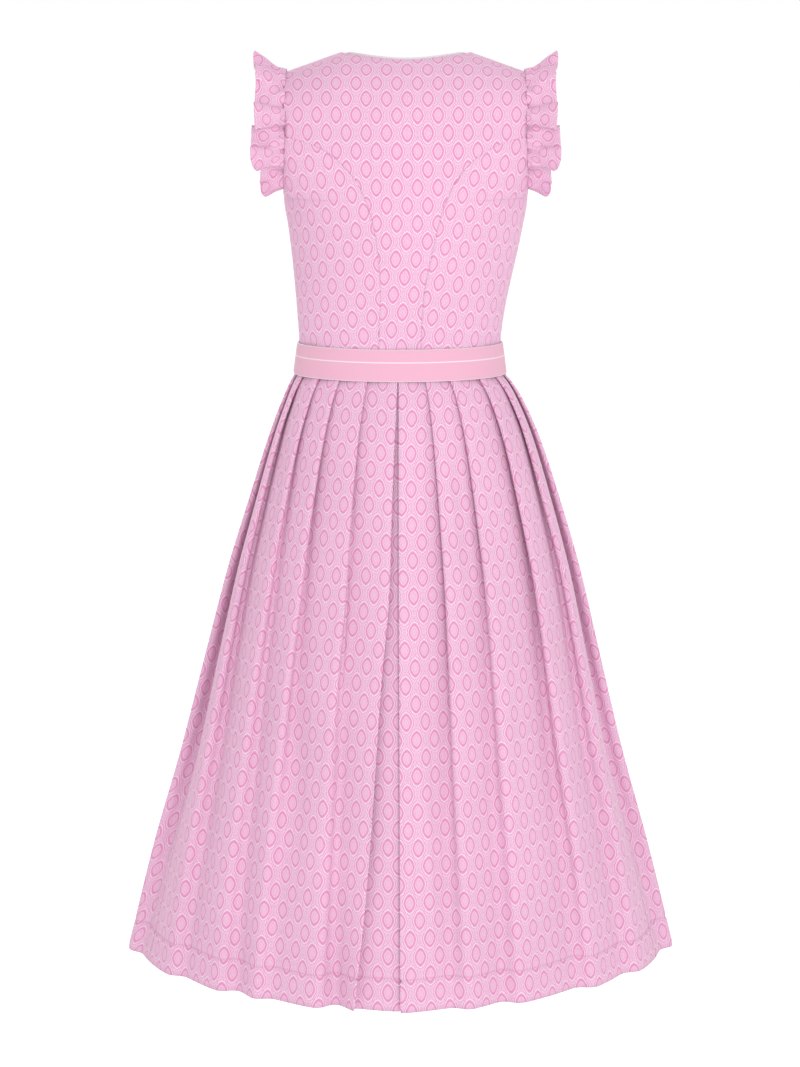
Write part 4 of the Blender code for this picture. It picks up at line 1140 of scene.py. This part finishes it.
def ring_points(level, section, side):
    """Lay a section round the skirt's ring at its level."""
    ring, travelled = half_ring(level)
    half_length = travelled[-1]
    ring = np.concatenate([ring[:0:-1] * [-1.0, 1.0], ring])
    travelled = np.concatenate([-travelled[:0:-1], travelled])
    shift = side * (level.sway + CENTRE_SHIFT) * (1.0 - section[:, 0] / half_length)
    along = section[:, 0] - shift
    ahead = np.gradient(ring, travelled, axis=0)
    normals = unit(np.stack([ahead[:, 1], -ahead[:, 0]], axis=-1))
    normal = unit(read_along(along, travelled, normals))
    flat = read_along(along, travelled, ring) + normal * section[:, 1:2]
    down = (SKIRT_TOP_Z - level.z) / (SKIRT_TOP_Z - HEM_Z)
    lift = SIDE_LIFT * down ** 2 * (np.abs(flat[:, 0]) / level.half_width) ** 4
    return np.stack([side * flat[:, 0] + level.sway, flat[:, 1], level.z + lift], axis=-1)


def skirt_heights():
    """Heights of the skirt's rows from the hem up, and the row that the hem's stitches lie on."""
    stitch_z = HEM_Z + STITCH_HEIGHT
    half = STITCH_GROOVE_WIDTH * 2.5
    parts = [
        np.linspace(HEM_Z, stitch_z - half, HEM_ROWS)[:-1],
        np.linspace(stitch_z - half, stitch_z + half, STITCH_ROWS)[:-1],
        np.linspace(stitch_z + half, GATHERED_Z, HANGING_ROWS)[:-1],
        np.linspace(GATHERED_Z, SKIRT_TOP_Z, GATHERED_ROWS),
    ]
    return np.concatenate(parts), HEM_ROWS - 1 + STITCH_ROWS // 2


def skirt_half(pleats, side):
    """A grid over half the skirt, rows from the hem up, columns from the centre back."""
    hem_half_length = half_ring(SKIRT[-1])[1][-1]
    rows = []
    for z in skirt_heights()[0]:
        values = [float(smooth_table(SKIRT, "z", field, z)) for field in SkirtLevel._fields[1:]]
        level = SkirtLevel(z, *values)
        parting, hem_parting = CENTRE_PARTING, CENTRE_PARTING
        if side < 0:
            parting, hem_parting = level.parting, SKIRT[-1].parting
        section = half_section(level, pleats, half_ring(level)[1][-1], hem_half_length,
                               parting, hem_parting)
        section = softened(section, float(smooth_table(SOFTNESS, "z", "reach", z)))
        rows.append(ring_points(level, section, side))
    return np.array(rows)


def skirt_grain(grid, side):
    """Distances along the rows from the centre back and up the columns from the hem."""
    across = travelled_along(grid, axis=1)
    steps = np.linalg.norm(np.diff(grid, axis=0), axis=-1)
    slid = np.diff(across, axis=0)
    rises = np.sqrt(np.maximum(steps ** 2 - slid ** 2, 0.0))
    along = np.concatenate([np.zeros((1, grid.shape[1])), np.cumsum(rises, axis=0)])
    return np.stack([side * across - SKIRT_GRAIN.x, along - SKIRT_GRAIN.y], axis=-1)


def add_skirt_part(node, grid, grain, creases, looks):
    """The back or the front of the skirt. Returns its outer points along the hem's stitches."""
    along = grain[..., 1] + SKIRT_GRAIN.y
    travelled = travelled_along(grid, axis=1)
    normals = grid_normals(grid)
    # All the layers of a pleat follow a crease the same way, away from the skirt's axis.
    outward = unit(grid * [1.0, 1.0, 0.0])
    facing = np.sum(normals * outward, axis=-1)
    facing = facing * smooth_step(2.2 * np.abs(outward[..., 1]) - 0.2)
    height = edge_shape(travelled, along) + edge_shape(travelled[:, -1:] - travelled, along)
    height = height + crease_heights(grid, creases) * facing
    height = height - STITCH_GROOVE * np.exp(-((along - STITCH_HEIGHT) / STITCH_GROOVE_WIDTH) ** 2)
    height = height - HEM_ROLL * np.exp(-(along / HEM_ROLL_REACH) ** 2)
    turn_up = TURN_UP_WALL * smooth_step((STITCH_HEIGHT + TURN_UP_LIP - along) / TURN_UP_FADE)
    above = height + SKIRT_WALL / 2
    made = add_cloth(node + "_cloth", grid, above, height - SKIRT_WALL / 2 - turn_up, grain,
                     looks, node, normals)
    row = skirt_heights()[1]
    return grid[row] + normals[row] * above[row][:, None], normals[row]


def add_hem_stitches(lines, look):
    """Short stitches that lie in the groove along the hem."""
    parts = []
    for points, normals in lines:
        travelled = travelled_along(points)
        count = int(travelled[-1] / STITCH_PITCH)
        for middle in (np.arange(count) + 0.5) * travelled[-1] / count:
            ends = [middle + STITCH_LENGTH * share for share in (-0.5, -0.3, 0.3, 0.5)]
            path = read_along(ends, travelled, points)
            normal = read_along(middle, travelled, normals)
            thick = np.array([0.35, 1.0, 1.0, 0.35])[:, None, None] * STITCH_RADIUS
            parts.append(tube(path, thick, sides=6, across=normal))
    points, faces = joined(parts)
    add_mesh("hem_stitches", points, faces, [look])


def add_skirt(looks, thread_look):
    seam = 6 * CENTRE_STEPS + SIDE_SEAM_PLEAT * PLEAT_COLUMNS + SIDE_SEAM_STEP
    halves = {}
    for hand, pleats, side in (("right", RIGHT_PLEATS, 1.0), ("left", LEFT_PLEATS, -1.0)):
        grid = skirt_half(pleats, side)
        grain = skirt_grain(grid, side)
        step = unit(grid[:, seam + 1] - grid[:, seam - 1]) * SEAM_GAP / 2
        back, front = grid[:, :seam + 1].copy(), grid[:, seam:].copy()
        back[:, -1] -= step
        front[:, 0] += step
        halves[hand] = (back, grain[:, :seam + 1], front, grain[:, seam:])
    right, left = halves["right"], halves["left"]
    back = np.concatenate([left[0][:, :0:-1], right[0]], axis=1)
    back_grain = np.concatenate([left[1][:, :0:-1], right[1]], axis=1)
    front = np.concatenate([right[2], left[2][:, -2::-1]], axis=1)
    # The front's pattern runs on from the right half's to the left side seam.
    left_grain = left[3][:, -2::-1].copy()
    left_grain[..., 0] += right[3][:, -1:, 0] - left[3][:, -1:, 0]
    front_grain = np.concatenate([right[3], left_grain], axis=1)
    lines = [
        add_skirt_part("skirt_back", back, back_grain, SKIRT_BACK_CREASES, looks),
        add_skirt_part("skirt_front", front, front_grain, SKIRT_FRONT_CREASES,
                       looks),
    ]
    add_hem_stitches(lines, thread_look)


# ---- Stage ----
def add_lamp(lamp):
    light = bpy.data.lights.new(lamp.name, "AREA")
    light.energy = lamp.power
    light.size = lamp.width
    toward = Vector(lamp.place) - Vector(lamp.aim)
    add_object(lamp.name, light, lamp.place, toward.to_track_quat("Z", "Y").to_euler())


def add_stage():
    scene = bpy.context.scene
    world = bpy.data.worlds.new("studio")
    world.use_nodes = True
    background = world.node_tree.nodes["Background"]
    background.inputs["Color"].default_value = WHITE
    background.inputs["Strength"].default_value = SKY_STRENGTH
    scene.world = world
    for lamp in LAMPS:
        add_lamp(lamp)
    mesh = bpy.data.meshes.new("floor")
    corners = [(x * FLOOR_HALF, y * FLOOR_HALF, FLOOR_Z)
               for x, y in ((-1, -1), (1, -1), (1, 1), (-1, 1))]
    mesh.from_pydata(corners, [], [[0, 1, 2, 3]])
    glow = {"Emission Color": WHITE, "Emission Strength": FLOOR_GLOW}
    mesh.materials.append(Shader("floor").finish(shown_colour(FLOOR_WHITE, share=1.0), 0.9, **glow))
    add_object("floor", mesh)
    camera = bpy.data.cameras.new("camera")
    camera.sensor_fit = "VERTICAL"
    camera.sensor_height = 36.0
    camera.lens = LENS
    camera.clip_end = 100.0
    turn = (math.pi / 2 - CAMERA_DOWN, 0.0, 0.0)
    scene.camera = add_object("camera", camera, CAMERA_PLACE, turn)
    scene.view_settings.view_transform = "Standard"


# ---- The dress ----
def main():
    cloth = jacquard()
    reverse = plain_cloth("patterned_cloth_reverse", REVERSE_PINK)
    lining = plain_cloth("lining", LINING_WHITE)
    facing = plain_cloth("facing_cloth", FACING_WHITE)
    thread = smooth_material("thread", THREAD_PINK, 0.6)
    bodice_looks = [cloth, lining]
    add_panel("back_center", back_center_places(), False, bodice_looks)
    for hand, side in (("left", -1.0), ("right", 1.0)):
        add_panel(f"back_side_{hand}", side_places(False, side), False,
                  bodice_looks, turn=side * SIDE_GRAIN_TURN)
        add_panel(f"front_side_{hand}", side_places(True, side), True,
                  bodice_looks, turn=-side * SIDE_GRAIN_TURN)
        add_panel(f"front_center_{hand}", front_center_places(side), True,
                  bodice_looks)
        add_ruffle(hand, side, [cloth, reverse])
    add_neck_facing([facing, facing])
    add_ribbon([ribbed_ribbon(), reverse])
    add_skirt([cloth, reverse], thread)
    button = smooth_material("button", BUTTON_PINK, 0.35)
    for number in range(1, BUTTON_COUNT + 1):
        add_button(number, button, thread)
    add_stage()


main()
